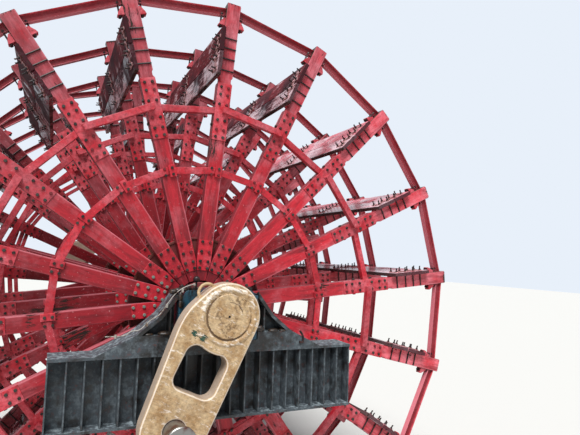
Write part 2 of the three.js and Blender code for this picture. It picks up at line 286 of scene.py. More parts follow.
def drawn(name, points, front, back):
    """An outline of x and height over the shaft, filled and pulled from its front to its back place."""
    obj = chain(name, [(x, front, SHAFT.z + z) for x, z in points])
    bpy.ops.mesh.edge_face_add()
    pull(0, back - front, 0)
    return closed(obj)


def lathe(name, profile, steps, centre=(0.0, 0.0)):
    """A round piece along the shaft's direction: a profile of radius and place, spun about x and height."""
    x, z = centre[0], SHAFT.z + centre[1]
    obj = chain(name, [(x + r, y, z) for r, y in profile])
    bpy.ops.mesh.spin(steps=steps, angle=2 * math.pi, center=(x, 0, z), axis=ALONG)
    return closed(obj, 0.00005)


def oblong(left, right, low, high):
    """The outline of an upright oblong."""
    return [(left, low), (right, low), (right, high), (left, high)]


def mirrored(points):
    """An outline's right side, from the foot up, with its left side added."""
    return points + [(-x, z) for x, z in reversed(points)]


def ring_bar(near, far, front, back, rounding):
    """A bar between two arms, its ends on the arms' middle lines."""
    joint = 0.002
    side = [(near * HALF_STEP - joint, near), (far * HALF_STEP - joint, far)]
    return remember_grain(rounded(drawn("bar", mirrored(side), front, back), rounding))


# Finishing and repeating pieces

def modified(obj, kind, **settings):
    """Adds a modifier with its settings and applies it."""
    only(obj)
    modifier = obj.modifiers.new(kind.lower(), kind)
    for name, value in settings.items():
        setattr(modifier, name, value)
    bpy.ops.object.modifier_apply(modifier=modifier.name)
    return obj


def rounded(obj, width, segments=2, sharp=35):
    """Rounds every edge sharper than an angle in degrees."""
    return modified(obj, "BEVEL", width=width, segments=segments, limit_method="ANGLE",
                    angle_limit=math.radians(sharp))


def smooth(obj, sharp=35):
    """Shades a turned or cast piece smoothly, with its broad flats kept flat."""
    only(obj)
    bpy.ops.object.shade_smooth_by_angle(angle=math.radians(sharp))
    return modified(obj, "WEIGHTED_NORMAL", keep_sharp=True)


def cut(obj, tool):
    """Cuts one piece out of another."""
    modified(obj, "BOOLEAN", operation="DIFFERENCE", object=tool, solver="EXACT")
    bpy.data.objects.remove(tool)


def turn(angle):
    """Turning about the shaft from +X towards +Z."""
    place = Matrix.Translation(SHAFT)
    return place @ Matrix.Rotation(-angle, 4, "Y") @ place.inverted()


def round_the_shaft(obj, count=ARMS, step=ARM_STEP, after=0.0):
    """Turns a piece to the first arm, or so much further, and joins it with its copies round the shaft."""
    obj.data.transform(turn(bpy.context.scene.sternwheel_sizes.first_arm - math.pi / 2 + after))
    mark = bpy.data.objects.new("turn", None)
    bpy.context.scene.collection.objects.link(mark)
    mark.matrix_world = turn(step)
    bpy.context.view_layer.update()
    modified(obj, "ARRAY", use_relative_offset=False, use_object_offset=True, offset_object=mark, count=count)
    bpy.data.objects.remove(mark)
    return obj


def copied(obj, matrix, name="copy"):
    """A copy with its own mesh, moved by a matrix; a mirrored copy is turned right side out."""
    copy = obj.copy()
    copy.data = obj.data.copy()
    copy.name = copy.data.name = name
    bpy.context.scene.collection.objects.link(copy)
    copy.data.transform(matrix)
    if matrix.determinant() < 0:
        copy.data.flip_normals()
    return copy


def joined(name, parts):
    """Joins pieces into the first one and names it."""
    only(parts[0])
    for part in parts[1:]:
        part.select_set(True)
    if len(parts) > 1:
        bpy.ops.object.join()
    parts[0].name = parts[0].data.name = name
    return parts[0]


def remember_grain(obj):
    """Keeps each vertex's place as drawn, from the shaft's axis, so that grain and wear follow every copy."""
    mesh = obj.data
    grain = mesh.attributes.get("grain") or mesh.attributes.new("grain", "FLOAT_VECTOR", "POINT")
    grain.data.foreach_set("vector", [c for v in mesh.vertices for c in v.co - SHAFT])
    return obj


def number_parts(obj, seed=1):
    """Gives each loose part of a piece its own number from 0 to 1, by which its paint and age differ."""
    mesh = obj.data
    first = list(range(len(mesh.vertices)))

    def root(v):
        while first[v] != v:
            first[v] = first[first[v]]
            v = first[v]
        return v

    for edge in mesh.edges:
        low, high = sorted(root(v) for v in edge.vertices)
        first[high] = low
    roots = [root(v) for v in range(len(first))]
    luck = random.Random(seed)
    numbers = {r: luck.random() for r in sorted(set(roots))}
    own = mesh.attributes.new("own", "FLOAT", "POINT")
    own.data.foreach_set("value", [numbers[r] for r in roots])


def paint(obj, kind):
    """Gives a piece its finish."""
    obj.data.materials.clear()
    obj.data.materials.append(finish_of(kind))
    return obj


def fit(obj, name, body, nodes=()):
    """Names a finished piece, hangs it on its body and hides the solids that it stands for."""
    obj.name = obj.data.name = name
    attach(obj, body)
    if nodes:
        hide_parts(*nodes)


MIRROR = Matrix.Translation((0, 2 * MIDDLE, 0)) @ Matrix.Diagonal((1, -1, 1, 1))


def flange_places():
    """The six flanges: name of each, and the matrix from the outermost near one."""
    for side, place in (("near", Matrix.Identity(4)), ("far", turn(ARM_STEP / 2) @ MIRROR)):
        for k in range(3):
            yield f"{side}_flange_{k + 1}", place @ Matrix.Translation((0, k * FLANGE_PITCH, 0))


def to_every_flange(obj, kind, stands=False):
    """Copies a finished piece of the outermost near flange to all six, and drops the pattern piece."""
    number_parts(obj)
    for flange, place in flange_places():
        fit(copied(obj, place), f"{flange}_{kind}", "wheel", [flange] if stands else [])
    bpy.data.objects.remove(obj)


def to_both_sides(pieces, body, near=Matrix.Identity(4), far=MIRROR):
    """Copies finished pieces to the near and the far side, and drops the pattern pieces.

    Each comes with its kind, its slot, which is not used, and the kind of solid that it stands for, or
    nothing.
    """
    for side, place in (("near", near), ("far", far)):
        for obj, kind, slot, solid in pieces:
            fit(copied(obj, place), f"{side}_{kind}", body, [f"{side}_{solid}"] if solid else [])
    for obj, *_ in pieces:
        bpy.data.objects.remove(obj)


# Materials

def node(tree, kind, *inputs, out=0, **settings):
    """Adds a node with its settings and gives one of its outputs, or all of them for None.

    Its inputs are fed in their order, or by the names or numbers of a dictionary.
    """
    made = tree.nodes.new(f"ShaderNode{kind}")
    for name, value in settings.items():
        setattr(made, name, value)
    feed(tree, made, inputs[0] if inputs and isinstance(inputs[0], dict) else dict(enumerate(inputs)))
    return made.outputs if out is None else made.outputs[out]


def feed(tree, made, inputs):
    """Feeds a node with values or other nodes' outputs.

    A tuple of an output, its old range and its new range goes through a range node on the way.
    """
    for name, value in inputs.items():
        if isinstance(value, tuple) and isinstance(value[0], bpy.types.NodeSocket):
            value = node(tree, "MapRange", *value)
        if isinstance(value, bpy.types.NodeSocket):
            tree.links.new(value, made.inputs[name])
        else:
            made.inputs[name].default_value = value


def coats(add, base, *layers):
    """Lays paints over a base one after the other, each as strongly as its amount says."""
    for strength, over in layers:
        under = base if isinstance(base, bpy.types.NodeSocket) else rgba(base)
        base = add("Mix", {0: strength, 6: under, 7: rgba(over)}, out=2, data_type="RGBA")
    return base


def combined(add, operation, first, *others):
    """Adds or multiplies amounts one after the other."""
    for other in others:
        first = add("Math", first, other, operation=operation)
    return first


def shaded(add, tone, *factors):
    """Makes a tone lighter or darker by the product of factors."""
    scale = combined(add, "MULTIPLY", *factors)
    return add("VectorMath", {0: tone, "Scale": scale}, operation="SCALE")


def as_drawn(add):
    """A point's place from the shaft's axis on the piece as it was drawn, and its three parts."""
    place = add("Attribute", out="Vector", attribute_name="grain")
    return place, *add("SeparateXYZ", place, out=None)


def in_object(add):
    """A point's place in the object, and its three parts."""
    place = add("TexCoord", out="Object")
    return place, *add("SeparateXYZ", place, out=None)


def per_metre(millimetres):
    """Pattern repeats in a metre for a real size in millimetres."""
    return 1000 / millimetres


def rgba(value):
    """A colour without transparency."""
    return (*value, 1.0)


def brushed_enamel_on_sawn_timber(add, paints):
    """Alkyd enamel brushed on rough-sawn timber: half-gloss with brush marks, bleached pink towards the rim,
    where the pink is also a painted sky sheen, streaked along the grain, chipped to its pale undercoat and
    here and there to dark wet wood. Painted shade darkens the flanks and the inner flanges, and a painted
    highlight lightens the arrises, most on the side away from the buckets."""
    sizes = bpy.context.scene.sternwheel_sizes
    half, tip = sizes.arm_width / 2, sizes.tip
    x, radius = as_drawn(add)[1::2]
    aside, along_shaft = in_object(add)[1:3]
    own = add("Attribute", out="Fac", attribute_name="own")
    shift = add("Math", own, 37.0, radius, operation="MULTIPLY_ADD")
    spot = add("CombineXYZ", x, along_shaft, shift)
    strips = add("Mapping", {"Vector": spot, "Scale": (1, 1, 0.16)})
    # Clouds of bleached paint some 400 mm long, more of them towards the rim, where the pink is also a
    # painted sky sheen
    clouds = add("TexNoise", {"Vector": spot, "Scale": per_metre(400), "Detail": 6.0, "Roughness": 0.68})
    bleached = combined(add, "ADD", clouds, (radius, 0.2 * tip, 0.85 * tip, -0.14, 0.07))
    tone = coats(add, paints.red, ((bleached, 0.42, 0.72, 0.0, 0.8), paints.red_faded_and_lit))
    # Brush marks and raised grain, drawn 34 mm apart because finer ones don't show. Each arm was painted on
    # its own day, so its red is a little lighter or darker. The arms are darker towards one side of the wheel
    # and lighter towards the other, and the inner flanges are darkened as painted shade
    streaks = add("TexNoise", {"Vector": strips, "Scale": per_metre(34), "Detail": 6.0, "Roughness": 0.72})
    brushed = add("MapRange", streaks, 0.32, 0.68, 0.72, 1.14)
    inner_flange_shade = (along_shaft, FLANGE_BACK, FLANGE_BACK + FLANGE_PITCH, 1.0, 0.7)
    tone = shaded(add, tone, brushed, (own, 0.0, 1.0, 0.84, 1.08), (aside, -2.6, 3.2, 0.64, 1.24), inner_flange_shade)
    # Grime in streaks 90 mm apart, thicker towards the hub, and chips to the undercoat, 30 mm and smaller
    stains = add("TexNoise", {"Vector": strips, "Scale": per_metre(90), "Detail": 7.0, "Roughness": 0.7})
    grime = combined(add, "ADD", stains, (radius, sizes.hub * 1.5, sizes.hub * 0.5, 0.0, 0.16))
    chips = add("TexNoise", {"Vector": spot, "Scale": per_metre(30), "Detail": 4.0, "Roughness": 0.6})
    # Worn arrises with a painted highlight: pale, much paler on the side away from the buckets, where light
    # catches them, and faint on the side of the buckets
    across = add("Math", x, operation="ABSOLUTE")
    arris_wear_and_highlight = add("MapRange", across, half - 0.018, half - 0.007)
    arris_wear_and_highlight = combined(add, "MULTIPLY", arris_wear_and_highlight, (x, -half, half, 0.05, 0.3))
    arris_wear_and_highlight = add("Math", arris_wear_and_highlight, streaks, arris_wear_and_highlight, operation="MULTIPLY_ADD")
    # Flanks: painted shade, darkest on the side of the buckets, and olive with growth towards the tip
    flank = add("MapRange", across, half - 0.004, half - 0.001)
    flank_shade = combined(add, "MULTIPLY", flank, (x, -half, half, 0.75, 0.2))
    growth = combined(add, "MULTIPLY", flank, (radius, 0.9 * tip, 0.93 * tip, 0.0, 0.85))
    # Flakes: ragged strips some 30 mm wide in a few worn areas, more of them at the end of the arm
    worn = add("TexNoise", {"Vector": spot, "Scale": per_metre(600), "Detail": 2.0})
    ragged = add("TexNoise", {"Vector": strips, "Scale": per_metre(30), "Detail": 8.0, "Roughness": 0.74,
                              "Distortion": 0.4})
    flakes = combined(add, "ADD", ragged, (worn, 0.58, 0.72, 0.0, 0.2), (radius, tip - 0.05, tip, 0.0, 0.11))
    flakes = add("MapRange", flakes, 0.63, 0.665)
    tone = coats(add, tone, ((grime, 0.47, 0.68, 0.0, 0.88), paints.red_dark),
                 ((chips, 0.64, 0.7, 0.0, 0.45), paints.undercoat), (arris_wear_and_highlight, paints.red_faded_and_lit),
                 (flank_shade, paints.red_dark), (growth, paints.slime), (flakes, paints.bare_wood))
    rough = add("Mix", {0: flakes, 2: (streaks, 0.3, 0.7, 0.5, 0.34), 3: 0.85})
    height = add("Math", flakes, -1.2, streaks, operation="MULTIPLY_ADD")
    bump = add("Bump", {"Height": height, "Strength": 0.7, "Distance": 0.005})
    return {"Base Color": tone, "Roughness": rough, "Normal": bump, "Specular IOR Level": 0.35}


def brushed_enamel_on_rolled_steel(add, paints):
    """The same enamel brushed over rolled steel: smoother and glossier, chipped at its edges, with rust that
    bleeds from joints, and paler towards the rim, partly as a painted sky sheen. In the outer ring the sunk
    web is painted dark as painted shade, and the flange under it is painted pale as painted light from below."""
    tip = bpy.context.scene.sternwheel_sizes.tip
    low, high = (share * tip for share in OUTER_RING)
    radius = as_drawn(add)[3]
    place = add("TexCoord", out="Object")
    own = add("Attribute", out="Fac", attribute_name="own")
    clouds = add("TexNoise", {"Vector": place, "Scale": per_metre(260), "Detail": 6.0, "Roughness": 0.66})
    # Bleached clouds, more of them towards the rim, where the paler paint is also a painted sky sheen
    bleached = combined(add, "ADD", clouds, (radius, 0.2 * tip, 0.75 * tip, -0.12, 0.04))
    tone = coats(add, paints.red, ((bleached, 0.4, 0.7, 0.0, 0.6), paints.red_faded_and_lit))
    tone = shaded(add, tone, add("MapRange", own, 0.0, 1.0, 0.8, 1.1))
    spots = add("TexNoise", {"Vector": place, "Scale": per_metre(42), "Detail": 8.0, "Roughness": 0.7})
    # Painted shade and light on the outer ring: the sunk web is painted dark, and the underside of the flange
    # under it is painted pale, as the light from below
    above = add("MapRange", radius, low + 0.013, low + 0.018)
    web = combined(add, "MULTIPLY", above, (radius, high - 0.004, high - 0.009, 0.0, 0.75))
    under = add("Math", radius, low + 0.006, 0.009, operation="COMPARE")
    under = combined(add, "MULTIPLY", under, 0.85)
    tone = coats(add, tone, ((spots, 0.46, 0.66, 0.0, 0.65), paints.red_dark),
                 ((spots, 0.37, 0.32, 0.0, 0.4), paints.undercoat),
                 ((spots, 0.64, 0.69, 0.0, 0.85), paints.rust), (web, paints.red_dark),
                 (under, paints.red_faded_and_lit))
    bump = add("Bump", {"Height": spots, "Strength": 0.45, "Distance": 0.003})
    return {"Base Color": tone, "Roughness": (spots, 0.35, 0.7, 0.32, 0.7), "Normal": bump,
            "Specular IOR Level": 0.35}


def soaked_painted_plank(add, paints):
    """Painted bucket boards that go through the water at every turn: soaked dark maroon, chalky in streaks,
    painted pale on one side of the wheel and on the inner boards as painted light and sheen, with long drying
    cracks, black lower edges and a wet film in patches that mirrors the sky."""
    tip = bpy.context.scene.sternwheel_sizes.tip
    x, along, radius = as_drawn(add)[1:]
    aside, along_shaft = in_object(add)[1:3]
    own = add("Attribute", out="Fac", attribute_name="own")
    shift = add("Math", own, 23.0, along_shaft, operation="MULTIPLY_ADD")
    spot = add("CombineXYZ", x, shift, radius)
    strips = add("Mapping", {"Vector": spot, "Scale": (1, 0.1, 1)})
    # Planks weather apart in areas some 700 mm long
    areas = add("TexNoise", {"Vector": spot, "Scale": per_metre(700), "Detail": 4.0, "Roughness": 0.6})
    areas = add("Math", own, 0.16, areas, operation="MULTIPLY_ADD")
    tone = coats(add, paints.red_dark, ((areas, 0.48, 0.64), paints.board_dark))
    fibres = add("TexNoise", {"Vector": strips, "Scale": per_metre(30), "Detail": 8.0, "Roughness": 0.72})
    tone = shaded(add, tone, add("MapRange", fibres, 0.32, 0.68, 0.6, 1.5))
    # Painted light: the boards on one side of the wheel are painted faded red and paler, as the light of sky
    # and water on them
    lit_side = add("MapRange", aside, 1.3, 2.4, 0.0, 0.85)
    # Chalk where the film dries: streaks of pale pink on some stretches of some boards. It is strongest on
    # the lit side of the wheel and on the inner board of each pair, where it is also painted light and sheen,
    # and least on the other side of the wheel, which is left dark as painted shade
    inner = add("MapRange", radius, BOARD_SEAM * tip - 0.003, BOARD_SEAM * tip + 0.003, 0.1, -0.05)
    chalk = add("Math", fibres, areas, operation="SUBTRACT")
    chalk = add("Math", lit_side, 0.2, chalk, operation="MULTIPLY_ADD")
    chalk = combined(add, "ADD", chalk, inner, (aside, -2.6, -1.6, -0.14, 0.0))
    # End grain is soaked dark
    end = (along, BUCKET_SPAN[0] + 0.014, BUCKET_SPAN[0] + 0.008, 0.0, 0.9)
    # Water stands on the lower edges and blackens them, and in the cracks, 44 mm apart
    cracks = add("TexNoise", {"Vector": strips, "Scale": per_metre(44), "Detail": 3.0})
    cracks = add("Math", cracks, 0.5, 0.011, operation="COMPARE")
    edge = (radius, BOARD_LOW * tip + 0.03, BOARD_LOW * tip + 0.012, 0.0, 0.9)
    black = add("Math", cracks, edge, operation="MAXIMUM")
    tone = coats(add, tone, (lit_side, paints.red_faded_and_lit), ((chalk, 0.02, 0.15, 0.0, 0.8), paints.board_chalk_and_sheen),
                 (end, paints.board_dark), (black, paints.bare_wood))
    # The wet film lies in pools some 350 mm across, most on the inner boards, and covers the boards on the
    # lit side
    film = add("TexNoise", {"Vector": spot, "Scale": per_metre(350), "Detail": 3.0})
    film = add("Math", lit_side, -0.16, film, operation="MULTIPLY_ADD")
    film = add("Math", film, inner, operation="SUBTRACT")
    height = add("Math", cracks, -1.0, fibres, operation="MULTIPLY_ADD")
    bump = add("Bump", {"Height": height, "Strength": 0.3, "Distance": 0.003})
    return {"Base Color": tone, "Roughness": (film, 0.36, 0.5, 0.2, 0.75), "Normal": bump,
            "Specular IOR Level": 0.14}


def painted_sand_cast_iron(add, paints):
    """Thin red paint on sand-cast iron: grainy skin, rust coming through in brown clouds."""
    place = add("TexCoord", out="Object")
    clouds = add("TexNoise", {"Vector": place, "Scale": per_metre(160), "Detail": 7.0, "Roughness": 0.65})
    sand = add("TexNoise", {"Vector": place, "Scale": per_metre(14), "Detail": 4.0})
    bump = add("Bump", {"Height": sand, "Strength": 0.4, "Distance": 0.002})
    return {"Base Color": coats(add, paints.red_dark, ((clouds, 0.38, 0.62), paints.rust)),
            "Roughness": (clouds, 0.3, 0.7, 0.5, 0.85), "Normal": bump}


def weathered_galvanised_steel(add, paints):
    """Hot-dip galvanised nuts and bolt heads: dark with grease and rust, some overpainted with the arm, and
    the renewed ones on the lower left of the hub still grey-green zinc."""
    place = add("TexCoord", out="Object")
    own = add("Attribute", out="Fac", attribute_name="own")
    flat = add("VectorMath", place, (1.0, 0.0, 1.0), operation="MULTIPLY")
    renewed = add("VectorMath", flat, (-0.75, 0.0, SHAFT.z - 0.1), out="Value", operation="DISTANCE")
    renewed = add("Math", renewed, 0.55, operation="LESS_THAN")
    brown = add("Math", own, 0.35, operation="LESS_THAN")
    painted = add("Math", own, 0.84, operation="GREATER_THAN")
    spots = add("TexNoise", {"Vector": place, "Scale": per_metre(18), "Detail": 5.0})
    tone = coats(add, paints.bolt, (brown, paints.grease), (painted, paints.red_dark),
                 (renewed, paints.bolt_new), ((spots, 0.52, 0.66, 0.0, 0.5), paints.rust))
    return {"Base Color": tone, "Roughness": (spots, 0.0, 1.0, 0.4, 0.75), "Metallic": 0.25}


def chalked_paint_on_flat_steel(add, paints):
    """Flat steel straps under the clamps whose paint has chalked to a pale pink bloom: matt, dirty at the
    edges, with rust round the nuts."""
    place = add("TexCoord", out="Object")
    spots = add("TexNoise", {"Vector": place, "Scale": per_metre(40), "Detail": 6.0, "Roughness": 0.68})
    bump = add("Bump", {"Height": spots, "Strength": 0.3, "Distance": 0.002})
    return {"Base Color": coats(add, paints.undercoat, ((spots, 0.34, 0.54, 0.0, 0.92), paints.rust)),
            "Roughness": (spots, 0.0, 1.0, 0.45, 0.8), "Normal": bump}


def greased_black_iron(add, paints):
    """Black iron rod under old grease: nearly black, glossy in streaks, brown where it rusts."""
    place = add("TexCoord", out="Object")
    spots = add("TexNoise", {"Vector": place, "Scale": per_metre(35), "Detail": 5.0})
    return {"Base Color": coats(add, paints.black, ((spots, 0.5, 0.7, 0.0, 0.55), paints.rust)),
            "Roughness": (spots, 0.0, 1.0, 0.3, 0.6), "Metallic": 0.3}


def cream_enamel_on_cast_steel(add, paints):
    """Cream enamel on a steel casting: half-gloss, mottled with soaked-in oil, chalky white where ropes and
    hands rub it, dried oil in the groove round the cap with a painted shadow, a painted highlight along the
    rounded rim, black painted shade in the centre hole, scratches, and green primer where paint is gone."""
    crank = bpy.context.scene.sternwheel_crank
    face = arm_face(bpy.context.scene.sternwheel_sizes) - CRANK_OUT
    drawn_at, _, depth, _ = as_drawn(add)
    flat = add("VectorMath", drawn_at, (1.0, 0.0, 1.0), operation="MULTIPLY")
    reach = add("VectorMath", flat, out="Value", operation="LENGTH")
    facing = add("VectorMath", flat, operation="NORMALIZE")

    def towards(x, z):
        return add("VectorMath", facing, (x, 0.0, z), out="Value", operation="DOT_PRODUCT")

    def away_from(x, z):
        return add("VectorMath", flat, (x, 0.0, z), out="Value", operation="DISTANCE")

    clouds = add("TexNoise", {"Vector": drawn_at, "Scale": per_metre(130), "Detail": 7.0, "Roughness": 0.7})
    scuffs = add("TexNoise", {"Vector": drawn_at, "Scale": per_metre(38), "Detail": 8.0, "Roughness": 0.72})
    tone = coats(add, paints.cream, ((clouds, 0.38, 0.6), paints.cream_deep))
    # Fine scratches, drawn 12 mm apart because finer ones don't show
    brushed = add("Mapping", {"Vector": drawn_at, "Rotation": (0, 0.7, 0), "Scale": (0.12, 1, 1)})
    scratches = add("TexNoise", {"Vector": brushed, "Scale": per_metre(12), "Detail": 4.0})
    tone = shaded(add, tone, add("MapRange", scratches, 0.34, 0.66, 0.88, 1.08))
    tone = shaded(add, tone, add("MapRange", scuffs, 0.36, 0.62, 1.12, 0.72))
    # Rubbed white: a streaky band outside the cap above the eye, and small places all over
    band = add("MapRange", reach, crank.cap + 0.01, crank.ridge)
    band = combined(add, "MULTIPLY", band, (reach, crank.head - 0.01, crank.ridge + 0.01, 0.0, 0.13),
                    (towards(0.69, -0.73), 0.3, 0.8, 0.35, 1.0))
    drawn_out = add("Mapping", {"Vector": drawn_at, "Rotation": (0, 0.9, 0), "Scale": (0.3, 1, 1)})
    ropes = add("TexNoise", {"Vector": drawn_out, "Scale": per_metre(36), "Detail": 8.0, "Roughness": 0.75})
    rubbed = combined(add, "ADD", ropes, band)
    # The rounded rim is worn light in a thin line, which is also a painted highlight, and the flanks behind
    # it are painted greyer, but not the eye
    rim = add("Math", depth, face + 0.005, 0.0042, operation="COMPARE")
    rim = combined(add, "MULTIPLY", rim, scuffs)
    eye = add("Math", away_from(*EYE), EYE_RADIUS, 0.02, operation="COMPARE")
    eye = add("Math", 1.0, eye, operation="SUBTRACT")
    side = add("MapRange", depth, face + 0.012, face + 0.03, 0.0, 0.8)
    side = combined(add, "MULTIPLY", side, eye)
    # Dried oil in the groove round the cap, thickest towards the window, where the dark line is also a
    # painted shadow
    groove = combined(add, "ADD", reach, -crank.cap - 0.005)
    groove = add("Math", groove, operation="ABSOLUTE")
    groove = add("MapRange", groove, 0.016, 0.004, 0.0, 1.0)
    groove = combined(add, "MULTIPLY", groove, (towards(0.41, 0.91), -0.4, 0.4, 0.12, 0.45))
    # A scored arc on the cap, and broad faint smears of oil, by place and radius
    scored = add("Math", reach, 0.157, 0.006, operation="COMPARE")
    scored = combined(add, "MULTIPLY", scored, (towards(-0.255, -0.968), 0.72, 0.8, 0.0, 0.24))
    smears = [(away_from(x, z), radius, 0.0, 0.0, 0.2)
              for x, z, radius in ((-0.05, 0.1, 0.16), (0.13, 0.03, 0.1), (-0.03, -0.19, 0.13))]
    oily = combined(add, "ADD", scuffs, combined(add, "MAXIMUM", groove, scored, *smears))
    # The centre hole is painted black with grease, which is also painted shade in the hole
    hole = add("Math", reach, 0.014, operation="LESS_THAN")
    # Two patches of old primer beside the window, black where their edges have lifted
    patch = 0.0
    for x, z, radius in ((0.265, 0.31, 0.085), (0.16, 0.325, 0.075)):
        patch = add("Math", (away_from(x, z), radius, 0.015, 0.0, 0.27), patch, operation="MAXIMUM")
    torn = add("TexNoise", {"Vector": drawn_out, "Scale": per_metre(20), "Detail": 8.0, "Roughness": 0.8,
                            "Distortion": 0.8})
    patch = combined(add, "ADD", torn, patch)
    lifted = add("Math", patch, 0.715, 0.016, operation="COMPARE")
    tone = coats(add, tone, ((rubbed, 0.56, 0.66, 0.0, 0.85), paints.cream_worn_and_highlight), (rim, paints.cream_worn_and_highlight),
                 (side, paints.cream_side), ((oily, 0.58, 0.78, 0.0, 0.85), paints.crank_oil),
                 (hole, paints.grease), ((patch, 0.7, 0.715), paints.primer), (lifted, paints.grease))
    height = add("Math", scratches, 0.4, scuffs, operation="MULTIPLY_ADD")
    bump = add("Bump", {"Height": height, "Strength": 0.35, "Distance": 0.003})
    return {"Base Color": tone, "Roughness": (scuffs, 0.3, 0.7, 0.36, 0.68), "Normal": bump,
            "Specular IOR Level": 0.4}


def oily_machine_enamel(add, paints):
    """Dark teal machine enamel on cast iron, wet with oil: glossy, with black grease run down from above."""
    runs = add("Mapping", {"Vector": add("TexCoord", out="Object"), "Scale": (1, 1, 0.35)})
    streaks = add("TexNoise", {"Vector": runs, "Scale": per_metre(60), "Detail": 7.0, "Roughness": 0.68})
    bump = add("Bump", {"Height": streaks, "Strength": 0.5, "Distance": 0.004})
    return {"Base Color": coats(add, paints.teal, ((streaks, 0.48, 0.62, 0.0, 0.85), paints.grease)),
            "Roughness": (streaks, 0.35, 0.65, 0.42, 0.25), "Normal": bump}


def caked_bearing_grease(add, paints):
    """Old bearing grease thrown out and caked: black, lumpy and wet, brown where dust has settled on it."""
    place = add("TexCoord", out="Object")
    lumps = add("TexNoise", {"Vector": place, "Scale": per_metre(22), "Detail": 6.0})
    bump = add("Bump", {"Height": lumps, "Strength": 0.8, "Distance": 0.006})
    return {"Base Color": coats(add, paints.grease, ((lumps, 0.5, 0.66, 0.0, 0.7), paints.crank_oil)),
            "Roughness": (lumps, 0.0, 1.0, 0.2, 0.65), "Normal": bump}


def painted_steel_pipe(add, paints):
    """Off-white paint on a small steel grease pipe: half-gloss, with brown finger marks of grease."""
    place = add("TexCoord", out="Object")
    marks = add("TexNoise", {"Vector": place, "Scale": per_metre(45), "Detail": 5.0})
    return {"Base Color": coats(add, paints.pipe, ((marks, 0.5, 0.64, 0.0, 0.8), paints.crank_oil)),
            "Roughness": (marks, 0.0, 1.0, 0.35, 0.6)}


def grey_deck_paint_on_plate(add, paints):
    """Blue-grey deck paint on plate girders, washed pale in places and painted paler where faces look up, as
    painted light from the sky, with thrown grease and soot caked on round the bearing, brown film under the
    slopes and rust in spots."""
    place = add("TexCoord", out="Object")
    flat = add("VectorMath", place, (1.0, 0.0, 1.0), operation="MULTIPLY")
    reach = add("VectorMath", flat, (SHAFT.x, 0.0, SHAFT.z), out="Value", operation="DISTANCE")
    spots = add("TexNoise", {"Vector": place, "Scale": per_metre(55), "Detail": 8.0, "Roughness": 0.72})
    clouds = add("TexNoise", {"Vector": place, "Scale": per_metre(160), "Detail": 7.0, "Roughness": 0.68})
    # Faces that look up are painted paler, partly washed by rain and partly painted light from the sky, and
    # less grease stays on them
    upward = add("SeparateXYZ", add("NewGeometry", out="Normal"), out="Z")
    upward = add("MapRange", upward, 0.3, 0.6)
    washed = add("MapRange", spots, 0.52, 0.4, 0.0, 1.0)
    washed = combined(add, "MULTIPLY", washed, (upward, 0.0, 1.0, 0.25, 0.85))
    near = (reach, 1.3, 0.5, 0.0, 0.14)
    near = add("Math", upward, -0.08, near, operation="MULTIPLY_ADD")
    greasy = add("MapRange", combined(add, "ADD", clouds, near), 0.48, 0.64, 0.0, 0.92)
    tone = coats(add, paints.beam, (washed, paints.beam_pale), (greasy, paints.grease),
                 ((spots, 0.58, 0.68, 0.0, 0.6), paints.rust))
    bump = add("Bump", {"Height": spots, "Strength": 0.6, "Distance": 0.005})
    return {"Base Color": tone, "Roughness": (greasy, 0.0, 1.0, 0.7, 0.36), "Normal": bump}


def lathe_turned_steel(add, paints):
    """Lathe-turned forged steel with fine rings round its axis, an oil film and brown bloom."""
    place = add("TexCoord", out="Object")
    # Real tool marks are under 1 mm apart; 8 mm is the finest that the picture can show
    rings = add("Mapping", {"Vector": place, "Scale": (0.02, 1.0, 0.02)})
    marks = add("TexNoise", {"Vector": rings, "Scale": per_metre(8), "Detail": 3.0})
    bloom = add("TexNoise", {"Vector": place, "Scale": per_metre(130), "Detail": 6.0})
    bump = add("Bump", {"Height": marks, "Strength": 0.3, "Distance": 0.001})
    return {"Base Color": coats(add, paints.steel, ((bloom, 0.48, 0.66, 0.0, 0.85), paints.rust)),
            "Roughness": (marks, 0.0, 1.0, 0.25, 0.5), "Normal": bump, "Metallic": 0.85}


def matt_studio_floor(add, paints):
    """Painted studio floor: matt, plain and pale, with the faintest unevenness."""
    place = add("TexCoord", out="Object")
    cloud = add("TexNoise", {"Vector": place, "Scale": per_metre(4000)})
    return {"Base Color": rgba(bpy.context.scene.sternwheel_stage.floor_colour),
            "Roughness": (cloud, 0.0, 1.0, 0.85, 0.95)}


FINISHES = {"timber": brushed_enamel_on_sawn_timber, "iron": brushed_enamel_on_rolled_steel,
            "board": soaked_painted_plank, "hub": painted_sand_cast_iron, "bolt": weathered_galvanised_steel,
            "rod": greased_black_iron, "strap": chalked_paint_on_flat_steel, "pipe": painted_steel_pipe,
            "crank": cream_enamel_on_cast_steel, "bearing": oily_machine_enamel,
            "grease": caked_bearing_grease, "beam": grey_deck_paint_on_plate, "steel": lathe_turned_steel,
            "floor": matt_studio_floor}


def finish_of(kind):
    """The finish of that kind, made the first time that a piece asks for it."""
    scene, key, recipe = bpy.context.scene, f"finish_{kind}", FINISHES[kind]
    if key not in scene:
        material = bpy.data.materials.new(recipe.__name__)
        material.use_nodes = True
        tree = material.node_tree
        sockets = recipe(functools.partial(node, tree), scene.sternwheel_paints)
        feed(tree, tree.nodes["Principled BSDF"], sockets)
        scene[key] = material
    return scene[key]


# The wheel's flanges

def arm_face(sizes):
    """Where the outermost near flange's outer face lies along the shaft."""
    return FLANGE_BACK - sizes.arm_depth


